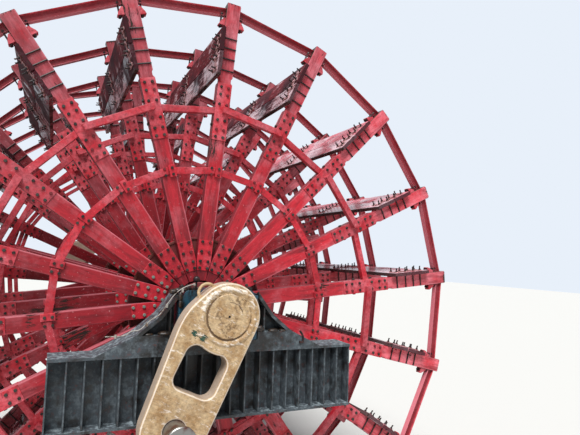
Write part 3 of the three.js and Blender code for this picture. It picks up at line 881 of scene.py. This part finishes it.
class STERNWHEEL_OT_arms(bpy.types.Operator):
    """Eighteen timber arms on each of the six flanges, wedged together at the hub and necked at the splice"""
    bl_idname = "sternwheel.arms"
    bl_label = "Arms"

    def execute(self, context):
        sizes = context.scene.sternwheel_sizes
        half, gap, tip = sizes.arm_width / 2, sizes.neighbour_gap / 2, sizes.tip
        foot, slim = ARM_FOOT * tip, half - sizes.neck
        neck = [(x, share * tip) for x, share in zip((half, slim, slim, half), NECK)]
        side = [(foot * HALF_STEP - gap, foot), (half, (half + gap) / HALF_STEP), *neck, (half, tip - 0.012),
                (half - 0.01, tip)]
        front = arm_face(sizes)
        arm = drawn("arm", mirrored(side), front, front + sizes.arm_depth)
        edit(arm)
        seams(UP, [SHAFT.z + reach * tip for reach in (0.25, 0.36, 0.5, 0.64, 0.78, 0.85, 0.92, 0.96)])
        done()
        arm = paint(remember_grain(rounded(arm, 0.006)), "timber")
        round_the_shaft(arm)
        # Every tip is battered in its own way
        edit(arm, "VERT")
        pick("verts", lambda at: math.hypot(at.x, at.z - SHAFT.z) > tip - 0.02)
        bpy.ops.transform.vertex_random(offset=0.006, seed=4)
        done()
        to_every_flange(arm, "arms", stands=True)
        return {"FINISHED"}


class STERNWHEEL_OT_rings(bpy.types.Operator):
    """The inner flat-bar ring, the middle box-bar ring and the outer ring of rolled beams on each flange"""
    bl_idname = "sternwheel.rings"
    bl_label = "Rings"

    def execute(self, context):
        sizes = context.scene.sternwheel_sizes
        tip, front = sizes.tip, arm_face(sizes)
        half_way = ARM_STEP / 2
        # Inner ring: flat bars that butt on the middle of each arm
        near, far = (share * tip for share in INNER_RING)
        bars = [round_the_shaft(ring_bar(near, far, front - 0.02, front, 0.003), after=half_way)]
        # Middle ring: box bars, in front of the arms and between them in turn
        near, thick = MIDDLE_RING * tip, sizes.mid_bar
        for turns, start in ((0.5, front + 0.0005), (1.5, front - thick)):
            bar = ring_bar(near, near + thick, start, start + thick, 0.005)
            bars.append(round_the_shaft(bar, ARMS // 2, 2 * ARM_STEP, turns * ARM_STEP))
        # Outer ring: a rolled beam between each pair of arms, its web sunk between two flanges
        near, far = (share * tip for share in OUTER_RING)
        reach, web = near * HALF_STEP, 0.016
        start = front + (sizes.arm_depth - sizes.outer_wide) / 2
        beam = block("beam", (-reach, start, SHAFT.z + near),
                     (reach, start + sizes.outer_wide, SHAFT.z + far))
        edit(beam)
        for hand in (-1, 1):
            pick("faces", lambda at, normal, hand=hand: normal.y * hand > 0.9)
            bpy.ops.mesh.inset(thickness=sizes.outer_plate)
            bpy.ops.transform.translate(value=(0, -hand * (sizes.outer_wide - web) / 2, 0))
        done()
        remember_grain(rounded(beam, 0.003))
        # Each beam is bolted on a little askew, one end deeper than the other
        middle = Matrix.Translation((0, start + sizes.outer_wide / 2, 0))
        beam.data.transform(middle @ Matrix.Rotation(math.atan(0.013 / reach), 4, "Z") @ middle.inverted())
        bars.append(round_the_shaft(beam, after=half_way))
        to_every_flange(paint(joined("rings", bars), "iron"), "rings", stands=True)
        return {"FINISHED"}


class STERNWHEEL_OT_plates(bpy.types.Operator):
    """Plates at the hub, over the splices and at the inner ring's joints, and brackets at the rim"""
    bl_idname = "sternwheel.plates"
    bl_label = "Plates and brackets"

    def execute(self, context):
        sizes = context.scene.sternwheel_sizes
        tip, front, back = sizes.tip, arm_face(sizes), FLANGE_BACK
        half, thick, gap = sizes.arm_width / 2, sizes.plate, sizes.neighbour_gap / 2
        inset, sunk, flush = 0.003, 0.002, half - 0.004
        low, high = (share * tip for share in HUB_PLATE)
        hub_side = [(low * HALF_STEP - gap - inset, low), (half - inset, (half + gap) / HALF_STEP),
                    (half - inset, high)]
        splice = mirrored([(half + 0.001, share * tip) for share in SPLICE])
        lap = oblong(0.006, flush, *(share * tip for share in LAP))
        parts = [drawn("plate", outline, start, end) for outline, start, end in (
            (mirrored(hub_side), front - 0.01, front + sunk), (splice, front - thick, front + sunk),
            (splice, back - sunk, back + thick), (lap, front - 0.034, front + sunk))]
        # Brackets: a foot on the arm's flank, with a flared web at the front and one at the back
        foot, top = (share * tip for share in BRACKET)
        out = half + 0.087
        for hand in (-1, 1):
            sole = oblong(hand * flush, hand * out, foot - 0.01, foot + 0.006)
            parts.append(drawn("sole", sole, front + 0.014, back - 0.014))
            web = [(flush, foot), (out - 0.006, foot), (out - 0.006, foot + 0.022), (half + 0.028, top),
                   (flush, top)]
            for start in (front + 0.016, back - 0.026):
                parts.append(drawn("web", [(hand * x, z) for x, z in web], start, start + 0.01))
        plates = paint(remember_grain(rounded(joined("plates", parts), 0.0025, 1)), "iron")
        to_every_flange(round_the_shaft(plates), "plates")
        return {"FINISHED"}


def hexagon(across, height, facing, place, stub=0.0):
    """A nut or bolt head at a place, facing a direction, chamfered, with the rod's end in front of it."""
    head = added("head", bpy.ops.mesh.primitive_cylinder_add, vertices=6, radius=across / math.sqrt(3),
                 depth=height, location=(0, 0, height / 2))
    edit(head)
    pick("faces", lambda at, normal: normal.z > 0.9)
    bpy.ops.mesh.bevel(offset=0.14 * height, segments=1)
    if stub:
        pick("faces", lambda at, normal: normal.z > 0.9)
        bpy.ops.mesh.inset(thickness=0.2 * across)
        pull(0, 0, stub)
    done()
    turned = Vector(facing).to_track_quat("Z", "X").to_matrix().to_4x4()
    head.data.transform(Matrix.Translation(place) @ turned)
    return head


class STERNWHEEL_OT_bolts(bpy.types.Operator):
    """Bolt heads and nuts through the hub plates, splices, rings and arms of each flange"""
    bl_idname = "sternwheel.bolts"
    bl_label = "Bolts"

    def execute(self, context):
        sizes = context.scene.sternwheel_sizes
        tip, front, back, thick = sizes.tip, arm_face(sizes), FLANGE_BACK, sizes.plate
        disc_back, column = back + HUB_DISC[1], BOLT_COLUMN * tip
        heads = []
        for rows, across, toward, high, away, deep in (
                (HUB_BOLTS, 0.037, front - 0.01, 0.024, disc_back, 0.024),
                (SPLICE_BOLTS, 0.036, front - thick, 0.02, back + thick, 0.024)):
            for reach in rows:
                for x in (-column, column):
                    z = SHAFT.z + reach * tip
                    heads.append(hexagon(across, high, -ALONG, (x, toward, z)))
                    heads.append(hexagon(across, deep, ALONG, (x, away, z)))
        for reach in LAP_BOLTS:
            for x, lift in ((-0.05, 0.02), (0.05, 0.034)):
                heads.append(hexagon(0.034, 0.018, -ALONG, (x, front - lift, SHAFT.z + reach * tip)))
        for hand in (-1, 1):
            for reach in FLANK_BOLTS:
                place = (hand * sizes.arm_width / 2, (front + back) / 2, SHAFT.z + reach * tip)
                heads.append(hexagon(0.04, 0.022, hand * ACROSS, place))
        bolts = paint(joined("bolts", heads), "bolt")
        to_every_flange(round_the_shaft(bolts), "bolts")
        return {"FINISHED"}


def rod_start(place, facing, radius, sides=6):
    """A filled circle at the end of a rod, open for editing and selected."""
    obj = added("rod", bpy.ops.mesh.primitive_circle_add, vertices=sides, radius=radius, fill_type="NGON",
                location=place, rotation=Vector(facing).to_track_quat("Z", "X").to_euler())
    edit(obj, chosen="SELECT")
    return obj


def hook_rods(sizes):
    """The rods beside an arm: across, the bracket's foot, and the top of the ring's inner flange there."""
    lean = ARM_STEP / 2
    for x in (-sizes.arm_width / 2 - 0.057, sizes.arm_width / 2 + 0.038):
        ledge = (OUTER_RING[0] * sizes.tip + sizes.outer_plate - abs(x) * math.sin(lean)) / math.cos(lean)
        yield x, BRACKET[0] * sizes.tip, ledge


class STERNWHEEL_OT_clamps(bpy.types.Operator):
    """U-bolts that clamp the buckets to the arms over pale straps, and rods that hold the outer ring"""
    bl_idname = "sternwheel.clamps"
    bl_label = "Clamp rods"

    def execute(self, context):
        sizes = context.scene.sternwheel_sizes
        tip, front, back = sizes.tip, arm_face(sizes), FLANGE_BACK
        half, radius, bend, quarter = sizes.arm_width / 2, sizes.rod / 2, 0.02, math.pi / 2
        bucket_back, saddle = -half - sizes.bucket_thick, 0.012
        leg_end = bucket_back - 0.058
        near, far = front - radius, back + radius
        corner = half + radius + 0.006 - bend
        hook = 0.045
        parts, straps = [], []
        for reach in U_BOLTS:
            z = SHAFT.z + reach * tip
            rod = rod_start((leg_end, near, z), ACROSS, radius)
            pull(corner - leg_end, 0, 0)
            bpy.ops.mesh.spin(steps=3, angle=quarter, center=(corner, near + bend, z), axis=UP)
            pull(0, far - near - 2 * bend, 0)
            bpy.ops.mesh.spin(steps=3, angle=quarter, center=(corner, far - bend, z), axis=UP)
            pull(leg_end - corner, 0, 0)
            # The legs' ends are hammered over a little towards the rim
            pick("faces", lambda at, normal: normal.x < -0.9 and at.x < leg_end + 0.001)
            pull(-0.017, 0, 0.005)
            parts.append(closed(rod))
            parts += [hexagon(0.032, 0.018, -ACROSS, (bucket_back - saddle, y, z)) for y in (near, far)]
            plate = block("saddle", (bucket_back - saddle, near - 0.028, z - 0.022),
                          (bucket_back + 0.001, far + 0.028, z + 0.022))
            straps.append(rounded(plate, 0.002, 1))
        for low, high in zip(U_BOLTS[:-1], U_BOLTS[1:]):
            strap = block("strap", (bucket_back - 0.007, front + 0.028, SHAFT.z + low * tip + 0.03),
                          (bucket_back + 0.001, back - 0.028, SHAFT.z + high * tip - 0.03))
            straps.append(rounded(strap, 0.002, 1))
        # Rods up from each bracket's foot, through the inner flange of the ring's beam
        for x, foot, ledge in hook_rods(sizes):
            for y in (front + hook, back - hook):
                rod = rod_start((x, y, SHAFT.z + foot - 0.03), UP, 0.009)
                pull(0, 0, ledge - foot + 0.058)
                parts.append(closed(rod))
                parts.append(hexagon(0.036, 0.02, -UP, (x, y, SHAFT.z + foot - 0.01)))
                parts.append(hexagon(0.034, 0.02, UP, (x, y, SHAFT.z + ledge - 0.003)))
        for kind, pieces, finish, slot in (("clamps", parts, "rod", "shaft_steel"),
                                           ("straps", straps, "strap", "bucket_board")):
            to_every_flange(round_the_shaft(paint(joined(kind, pieces), finish)), kind)
        return {"FINISHED"}


class STERNWHEEL_OT_buckets(bpy.types.Operator):
    """Thirty-six buckets, each of two long boards with battered ends"""
    bl_idname = "sternwheel.buckets"
    bl_label = "Buckets"

    def execute(self, context):
        sizes = context.scene.sternwheel_sizes
        tip, (start, end) = sizes.tip, BUCKET_SPAN
        face, seam = -sizes.arm_width / 2 - 0.0003, BOARD_SEAM * tip
        boards = []
        for low, high, short in ((BOARD_LOW * tip, seam - 0.004, 0.006),
                                 (seam + 0.004, BOARD_HIGH * tip, 0.0)):
            board = block("board", (face - sizes.bucket_thick, start + short, SHAFT.z + low),
                          (face, end - short, SHAFT.z + high))
            edit(board)
            places = [start + short + gap for gap in (0.02, 0.055, 0.12)]
            places += [end - short - gap for gap in (0.02, 0.055, 0.12)]
            seams(ALONG, places + [start + (end - start) * k / 12 for k in range(1, 12)])
            seams(UP, [SHAFT.z + low + (high - low) * k / 5 for k in range(1, 5)])
            done()
            boards.append(board)
        pattern = joined("boards", boards)
        for side, place, first in (("near", Matrix.Identity(4), 0.0), ("far", MIRROR, ARM_STEP / 2)):
            for k in range(ARMS):
                seed = k + (ARMS if side == "far" else 0)
                bucket = copied(pattern, Matrix.Identity(4))
                edit(bucket, "VERT")
                pick("verts", lambda at: at.y < start + 0.08 or at.y > end - 0.08)
                bpy.ops.transform.vertex_random(offset=0.005, seed=seed)
                done()
                paint(remember_grain(rounded(bucket, 0.004, 1, 50)), "board")
                number_parts(bucket, seed)
                turned = turn(sizes.first_arm + first + k * ARM_STEP - math.pi / 2) @ place
                name = f"{side}_bucket_{k + 1:02d}"
                fit(copied(bucket, turned), f"{name}_boards", "wheel", [name])
                bpy.data.objects.remove(bucket)
        bpy.data.objects.remove(pattern)
        return {"FINISHED"}


class STERNWHEEL_OT_hubs(bpy.types.Operator):
    """Six cast hubs: a boss on the shaft and a disc with a lip behind the arms"""
    bl_idname = "sternwheel.hubs"
    bl_label = "Hubs"

    def execute(self, context):
        sizes = context.scene.sternwheel_sizes
        face = arm_face(sizes)
        rim, boss, bore = sizes.hub, 0.3, 0.2405
        disc, back = (sizes.arm_depth + place for place in HUB_DISC)
        profile = [(bore, -0.03), (boss - 0.012, -0.03), (boss, -0.018), (boss, disc), (rim - 0.03, disc),
                   (rim - 0.026, disc - 0.016), (rim - 0.004, disc - 0.016), (rim, disc - 0.012),
                   (rim, back - 0.006), (rim - 0.006, back), (boss + 0.04, back), (boss + 0.012, back + 0.01),
                   (boss, back + 0.03), (boss, 0.198), (boss - 0.012, 0.21), (bore, 0.21), (bore, -0.03)]
        hub = lathe("hub", [(r, face + depth) for r, depth in profile], 72)
        key = block("key", (-0.035, face - 0.045, SHAFT.z + bore - 0.03),
                    (0.035, face - 0.02, SHAFT.z + bore + 0.03))
        hub = paint(smooth(joined("hub", [hub, rounded(key, 0.004)]), 30), "hub")
        for flange, place in flange_places():
            name = flange.replace("flange", "hub")
            fit(copied(hub, place), f"{name}_casting", "wheel", [name])
        bpy.data.objects.remove(hub)
        return {"FINISHED"}


class STERNWHEEL_OT_shaft(bpy.types.Operator):
    """The turned steel shaft with its journals and filleted shoulders"""
    bl_idname = "sternwheel.shaft"
    bl_label = "Shaft"

    def execute(self, context):
        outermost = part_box("shaft")[0].y
        seat, journal, body = 0.215, 0.23, 0.24
        outer, inner = (corner.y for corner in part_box("near_bearing_block"))
        half = [(0.0, outermost), (seat, outermost), (seat, outer - 0.03), (journal, outer - 0.02),
                (journal, inner + 0.016), (body, inner + 0.024)]
        profile = half + [(r, 2 * MIDDLE - y) for r, y in reversed(half)]
        shaft = paint(smooth(lathe("shaft", profile, 72), 30), "steel")
        fit(shaft, "turned_shaft", "wheel", ["shaft"])
        return {"FINISHED"}


def arc(centre, radius, start, end, steps):
    """Points on an arc between two angles."""
    return [(centre[0] + radius * math.cos(start + (end - start) * k / steps),
             centre[1] + radius * math.sin(start + (end - start) * k / steps)) for k in range(steps + 1)]


def crank_outline(crank):
    """The crank's outline with the throw upwards: the head, the swelling shoulder and the pin head."""
    slant, x, z, before, after = math.radians(23), 0.478, 0.175, 0.17, 0.22
    lean = math.asin((crank.head - crank.pin_head) / crank.throw)
    run_in = math.atan2(x, crank.throw - z) - math.asin(crank.pin_head / math.hypot(x, crank.throw - z))
    start = Vector((x - before * math.sin(slant), z - before * math.cos(slant)))
    end = Vector((x - after * math.sin(run_in), z + after * math.cos(run_in)))
    swell = [(1 - t) ** 2 * start + 2 * t * (1 - t) * Vector((x, z)) + t * t * end
             for t in (k / 8 for k in range(9))]
    return [*arc((0, 0), crank.head, math.pi - lean, 2 * math.pi - slant, 44), *[tuple(p) for p in swell],
            *arc((0, crank.throw), crank.pin_head, run_in, math.pi - lean, 36)]


def crank_window():
    """The open window between the cheeks, its inner edge an arc round the head."""
    near, far, left, right, corner = 0.433, 0.9, 0.23, 0.264, 0.11
    start = math.acos((right - corner) / (near + corner))
    end = math.pi - math.acos((left - corner) / (near + corner))
    low_right = ((near + corner) * math.cos(start), (near + corner) * math.sin(start))
    low_left = ((near + corner) * math.cos(end), (near + corner) * math.sin(end))
    return [*arc((0, 0), near, end, start, 16), *arc(low_right, corner, start + math.pi, 2 * math.pi, 6)[1:],
            *arc((right - corner, far - corner), corner, 0, math.pi / 2, 6),
            *arc((corner - left, far - corner), corner, math.pi / 2, math.pi, 6),
            *arc(low_left, corner, math.pi, end + math.pi, 6)[:-1]]


class STERNWHEEL_OT_cranks(bpy.types.Operator):
    """The two cast cranks with their windows, caps, worn ridges and lifting eyes"""
    bl_idname = "sternwheel.cranks"
    bl_label = "Cranks"

    def execute(self, context):
        crank = context.scene.sternwheel_crank
        face = arm_face(context.scene.sternwheel_sizes)
        front, web_back, head_back, pin_back = (face - out for out in (CRANK_OUT, 1.115, 0.985, 1.045))
        pin_centre = (0, crank.throw)
        web = drawn("crank", crank_outline(crank), front, web_back)
        # Seams keep each face round the window a plain outline
        edit(web)
        seams(ACROSS, (0.0,))
        seams(UP, [SHAFT.z + z for z in (0.0, 0.35, 0.66, 0.98, crank.throw)])
        done()
        cut(web, drawn("window", crank_window(), front - 0.05, web_back + 0.05))
        cut(web, lathe("bore", [(0, front - 0.05), (crank.pin, front - 0.05), (crank.pin, web_back + 0.2),
                                (0, web_back + 0.2)], 48, pin_centre))
        edit(web)
        pick("faces", lambda at, normal: normal.y < -0.9 and at.y < front + 0.001)
        bpy.ops.mesh.region_to_loop()
        bpy.ops.mesh.bevel(offset=crank.rim, segments=4)
        done()
        boss, ridge, cap, bore = crank.head - 0.026, crank.ridge, crank.cap, 0.22
        head = lathe("head", [(bore, web_back - 0.01), (boss, web_back - 0.01), (boss, head_back - 0.012),
                              (boss - 0.012, head_back), (bore + 0.002, head_back), (bore, head_back - 0.002),
                              (bore, web_back - 0.01)], 72)
        inside, outside = crank.pin, crank.pin_head - 0.026
        pin_head = lathe("pin_head", [(inside, web_back - 0.01), (outside, web_back - 0.01),
                                      (outside, pin_back - 0.012), (outside - 0.012, pin_back),
                                      (inside, pin_back), (inside, web_back - 0.01)], 72, pin_centre)
        # The worn ridge round the cap, and the cap itself, dished a little, with its centre hole
        ridge_ring = lathe("ridge", [(cap + 0.012, front + 0.006), (ridge - 0.03, front - 0.003),
                                     (ridge - 0.012, front - 0.013), (ridge + 0.006, front - 0.014),
                                     (ridge + 0.022, front - 0.006), (ridge + 0.032, front + 0.004),
                                     (cap + 0.012, front + 0.006)], 96)
        cap_disc = lathe("cap", [(0, front + 0.02), (0.012, front + 0.02), (0.013, front - 0.011),
                                 (0.04, front - 0.01), (cap - 0.03, front - 0.012),
                                 (cap - 0.008, front - 0.012), (cap, front - 0.006),
                                 (cap, front + 0.006), (0, front + 0.03)], 96)
        centre = Vector((EYE[0], face - 1.2, SHAFT.z + EYE[1]))
        eye = rod_start(centre + EYE_RADIUS * ACROSS, UP, EYE_BAR, 12)
        bpy.ops.mesh.spin(steps=32, angle=2 * math.pi, center=centre, axis=ALONG)
        parts = [web, head, pin_head, ridge_ring, cap_disc, closed(eye, 0.0002)]
        casting = paint(remember_grain(smooth(joined("crank", parts), 32)), "crank")
        near = turn(crank.angle - math.pi / 2)
        far = turn(crank.angle - math.pi) @ MIRROR
        to_both_sides([(casting, "crank_casting", "crank_casting", "crank")], "wheel", near, far)
        # The pins, each with a collar
        inner, outer, collar = pin_back, face - 1.645, 0.155
        pin = lathe("pin", [(0, inner), (crank.pin - 0.004, inner), (crank.pin, inner - 0.004),
                            (crank.pin, outer + 0.05), (crank.pin + 0.006, outer + 0.045),
                            (collar, outer + 0.045), (collar, outer + 0.008), (collar - 0.008, outer),
                            (0.03, outer), (0.026, outer + 0.004), (0, outer + 0.004)], 48, pin_centre)
        pin = paint(smooth(pin, 30), "steel")
        to_both_sides([(pin, "pin", "shaft_steel", "crank_pin")], "wheel", near, far)
        return {"FINISHED"}


def cleaned_copy(name):
    """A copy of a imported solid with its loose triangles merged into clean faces."""
    copy = copied(frame["nodes"][name], Matrix.Identity(4), f"{name}_copy")
    copy.parent = None
    for key in list(copy.keys()):
        del copy[key]
    edit(copy, chosen="SELECT")
    bpy.ops.mesh.remove_doubles(threshold=0.00005)
    bpy.ops.mesh.dissolve_limited(angle_limit=math.radians(0.5))
    done()
    return copy


class STERNWHEEL_OT_bearings(bpy.types.Operator):
    """The split bearings that carry the shaft"""
    bl_idname = "sternwheel.bearings"
    bl_label = "Bearings"

    def execute(self, context):
        for name in [f"{side}_bearing_{part}" for side in ("near", "far") for part in ("block", "cap")]:
            casting = paint(smooth(rounded(cleaned_copy(name), 0.012, 3, 40), 30), "bearing")
            fit(casting, f"{name}_casting", "beams", [name])
        return {"FINISHED"}


class STERNWHEEL_OT_wheel_beams(bpy.types.Operator):
    """The two plate girders and their pedestals, with ribs under the slopes"""
    bl_idname = "sternwheel.wheel_beams"
    bl_label = "Wheel beams"

    def execute(self, context):
        for name in ("near_wheel_beam", "far_wheel_beam"):
            low, high = (corner.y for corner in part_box(name))
            parts = [cleaned_copy(name)]
            for x, top in ((-0.567, 0.06), (0.575, 0.05)):
                for start, end in ((low + 0.012, low + 0.175), (high - 0.175, high - 0.012)):
                    parts.append(block("rib", (x - 0.008, start, SHAFT.z - 0.24),
                                       (x + 0.008, end, SHAFT.z + top)))
            girder = paint(rounded(joined("girder", parts), 0.004, 1, 40), "beam")
            fit(girder, f"{name}_girder", "beams", [name])
        return {"FINISHED"}


def piped(name, points, radius):
    """A bent pipe through points of x, place along the shaft, and height over the shaft."""
    obj = chain(name, [(x, y, SHAFT.z + z) for x, y, z in points])
    done()
    only(obj)
    bpy.ops.object.convert(target="CURVE")
    curve = bpy.context.object.data
    spline = curve.splines[0]
    spline.type = "BEZIER"
    for point in spline.bezier_points:
        point.handle_left_type = point.handle_right_type = "AUTO"
    spline.resolution_u = 6
    curve.bevel_depth, curve.bevel_resolution, curve.use_fill_caps = radius, 2, True
    bpy.ops.object.convert(target="MESH")
    return smooth(bpy.context.object, 50)


def lump(place, size, seed):
    """A clot of caked grease."""
    clot = added("clot", bpy.ops.mesh.primitive_ico_sphere_add, subdivisions=3, radius=0.5, location=place,
                 scale=size)
    edit(clot, "VERT", "SELECT")
    bpy.ops.transform.vertex_random(offset=0.1 * min(size), seed=seed)
    bpy.ops.mesh.vertices_smooth(factor=0.4, repeat=2)
    done()
    return smooth(clot, 60)


class STERNWHEEL_OT_fittings(bpy.types.Operator):
    """Nuts, grease cup, grease pipe, hanging hook and caked grease on the bearings"""
    bl_idname = "sternwheel.fittings"
    bl_label = "Bearing fittings"

    def execute(self, context):
        front, back = (corner.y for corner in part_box("near_bearing_block"))
        crown, slope_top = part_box("near_bearing_cap")[1].z, SHAFT.z + 0.215
        irons = []
        for y in (front + 0.055, back - 0.055):
            for x in (-0.376, -0.3, 0.376):
                irons.append(hexagon(0.068, 0.03, UP, (x, y, crown - 0.001), 0.014))
            for x in (-0.5, 0.5):
                irons.append(hexagon(0.03, 0.02, UP, (x, y, slope_top - 0.002), 0.01))
        # The grease cup stands on a short pipe, its round lid facing out
        cup_x, cup_z, cup_y = -0.274, 0.386, front + 0.07
        irons.append(lathe("cup", [(0, cup_y - 0.042), (0.02, cup_y - 0.04), (0.031, cup_y - 0.032),
                                   (0.036, cup_y - 0.022), (0.036, cup_y + 0.03), (0.03, cup_y + 0.036),
                                   (0, cup_y + 0.036)], 24, (cup_x, cup_z)))
        irons.append(piped("stem", [(cup_x, cup_y, z) for z in (0.26, 0.3, 0.358)], 0.011))
        hook = ((1.054, -0.243), (1.083, -0.282), (1.1, -0.33), (1.098, -0.369), (1.075, -0.384),
                (1.05, -0.376))
        irons.append(piped("hook", [(x, front - 0.012, z) for x, z in hook], 0.014))
        # The grease pipe runs along the pedestal and up the slope's edge to its fitting on the cap
        run = front - 0.009
        route = ((-1.255, -0.228), (-1.042, -0.215), (-0.992, -0.18), (-0.908, -0.168), (-0.827, -0.1),
                 (-0.776, -0.055), (-0.7, -0.01), (-0.62, 0.1), (-0.53, 0.222), (-0.45, 0.285),
                 (-0.36, 0.322), (-0.317, 0.329))
        pipes = [piped("pipe", [(x, run, z) for x, z in route], 0.0065)]
        pipes.append(lathe("tip", [(0, run - 0.02), (0.012, run - 0.018), (0.015, run - 0.008),
                                   (0.015, run + 0.02), (0, run + 0.022)], 16, route[-1]))
        for x, z in ((-1.15, -0.221), (-0.827, -0.1), (-0.62, 0.1), (-0.45, 0.27)):
            clip = block("clip", (x - 0.012, run - 0.01, SHAFT.z + z - 0.03),
                         (x + 0.012, front + 0.002, SHAFT.z + z + 0.012))
            pipes.append(rounded(clip, 0.002, 1))
        # Caked grease: across, inward and up from the shaft, with the size of each lump
        lumps = (
            (-0.545, 0.02, 0.25, (0.1, 0.09, 0.06)), (-0.49, 0.05, 0.262, (0.09, 0.08, 0.06)),
            (-0.43, 0.03, 0.272, (0.09, 0.09, 0.05)), (-0.52, 0.12, 0.24, (0.12, 0.14, 0.07)),
            (-0.47, -0.002, 0.19, (0.06, 0.05, 0.12)), (-0.465, -0.004, 0.11, (0.05, 0.04, 0.1)),
            (0.46, 0.0, 0.1, (0.06, 0.06, 0.14)), (0.52, 0.02, -0.2, (0.12, 0.1, 0.09)),
            (-0.62, 0.03, -0.22, (0.16, 0.12, 0.06)), (0.7, 0.02, -0.226, (0.14, 0.1, 0.05)),
            (0.83, 0.03, -0.232, (0.1, 0.08, 0.04)), (-0.8, 0.05, -0.228, (0.12, 0.1, 0.05)))
        clots = [lump((x, front + inward, SHAFT.z + z), size, seed)
                 for seed, (x, inward, z, size) in enumerate(lumps)]
        iron = smooth(joined("irons", irons), 40)
        to_both_sides([(paint(iron, "rod"), "bearing_irons", "shaft_steel", ""),
                       (paint(joined("pipes", pipes), "pipe"), "grease_pipe", "beam_steel", ""),
                       (paint(joined("clots", clots), "grease"), "caked_grease", "bearing_casting", "")],
                      "beams")
        return {"FINISHED"}


class STERNWHEEL_OT_stage(bpy.types.Operator):
    """A plain pale floor, soft light and the camera at the photograph's angle"""
    bl_idname = "sternwheel.stage"
    bl_label = "Stage"

    def execute(self, context):
        scene, stage = context.scene, context.scene.sternwheel_stage
        bottom = SHAFT.z - scene.sternwheel_sizes.tip - stage.floor_drop
        floor = added("floor", bpy.ops.mesh.primitive_plane_add, size=stage.floor_size,
                      location=(0, MIDDLE, bottom))
        paint(floor, "floor")
        world = scene.world = bpy.data.worlds.new("surroundings")
        world.use_nodes = True
        tree = world.node_tree
        add = functools.partial(node, tree)
        # Bright where it is seen, less where it is mirrored, softest as the light that fills the shadows
        ray = add("LightPath", out=None)
        seen = (ray["Is Camera Ray"], 0.0, 1.0, stage.sky_strength, stage.sky_shown)
        mirrored_light = add("Math", ray["Is Glossy Ray"], stage.sky_mirrored, operation="MULTIPLY")
        strength = add("Math", seen, mirrored_light, operation="MAXIMUM")
        feed(tree, tree.nodes["Background"], {"Color": rgba(stage.sky_colour), "Strength": strength})
        bpy.ops.object.light_add(type="SUN", location=(-6, -6, 12))
        sun = context.object
        sun.name = "key_light"
        sun.data.energy, sun.data.angle = stage.sun_strength, stage.sun_softness
        sun.rotation_euler = Vector((-0.35, -0.55, 1.0)).to_track_quat("Z", "Y").to_euler()
        bpy.ops.object.camera_add()
        camera = scene.camera = context.object
        camera.name = "camera"
        camera.data.lens, camera.data.sensor_width, camera.data.clip_end = stage.camera_lens, 36.0, 500.0
        yaw, pitch, roll = stage.camera_yaw, stage.camera_pitch, stage.camera_roll
        ahead = Vector((math.sin(yaw) * math.cos(pitch), math.cos(yaw) * math.cos(pitch), math.sin(pitch)))
        level = Vector((math.cos(yaw), -math.sin(yaw), 0))
        upright = level.cross(ahead)
        right = math.cos(roll) * level + math.sin(roll) * upright
        up = math.cos(roll) * upright - math.sin(roll) * level
        camera.matrix_world = (Matrix.Translation(stage.camera_place)
                               @ Matrix((right, up, -ahead)).transposed().to_4x4())
        scene.view_settings.view_transform = "Standard"
        return {"FINISHED"}


PIECES = (STERNWHEEL_OT_stage, STERNWHEEL_OT_arms, STERNWHEEL_OT_rings, STERNWHEEL_OT_plates,
          STERNWHEEL_OT_bolts, STERNWHEEL_OT_clamps, STERNWHEEL_OT_buckets, STERNWHEEL_OT_hubs,
          STERNWHEEL_OT_shaft, STERNWHEEL_OT_cranks, STERNWHEEL_OT_bearings, STERNWHEEL_OT_wheel_beams,
          STERNWHEEL_OT_fittings)


class STERNWHEEL_PT_panel(bpy.types.Panel):
    """Lists the pieces in the order in which they are made"""
    bl_idname = "STERNWHEEL_PT_panel"
    bl_label = "Sternwheel"
    bl_space_type = "VIEW_3D"
    bl_region_type = "UI"
    bl_category = "Sternwheel"

    def draw(self, context):
        for piece in PIECES:
            self.layout.operator(piece.bl_idname)


GROUPS = {"sternwheel_sizes": WheelSizes, "sternwheel_crank": CrankSizes, "sternwheel_paints": Paints,
          "sternwheel_stage": StageSettings}


def register():
    for name, group in GROUPS.items():
        bpy.utils.register_class(group)
        setattr(bpy.types.Scene, name, PointerProperty(type=group))
    for piece in (*PIECES, STERNWHEEL_PT_panel):
        bpy.utils.register_class(piece)


def unregister():
    for piece in (STERNWHEEL_PT_panel, *reversed(PIECES)):
        bpy.utils.unregister_class(piece)
    for name, group in GROUPS.items():
        delattr(bpy.types.Scene, name)
        bpy.utils.unregister_class(group)


def main():
    register()
    for piece in PIECES:
        family, name = piece.bl_idname.split(".")
        getattr(getattr(bpy.ops, family), name)()


if __name__ == "__main__":
    main()
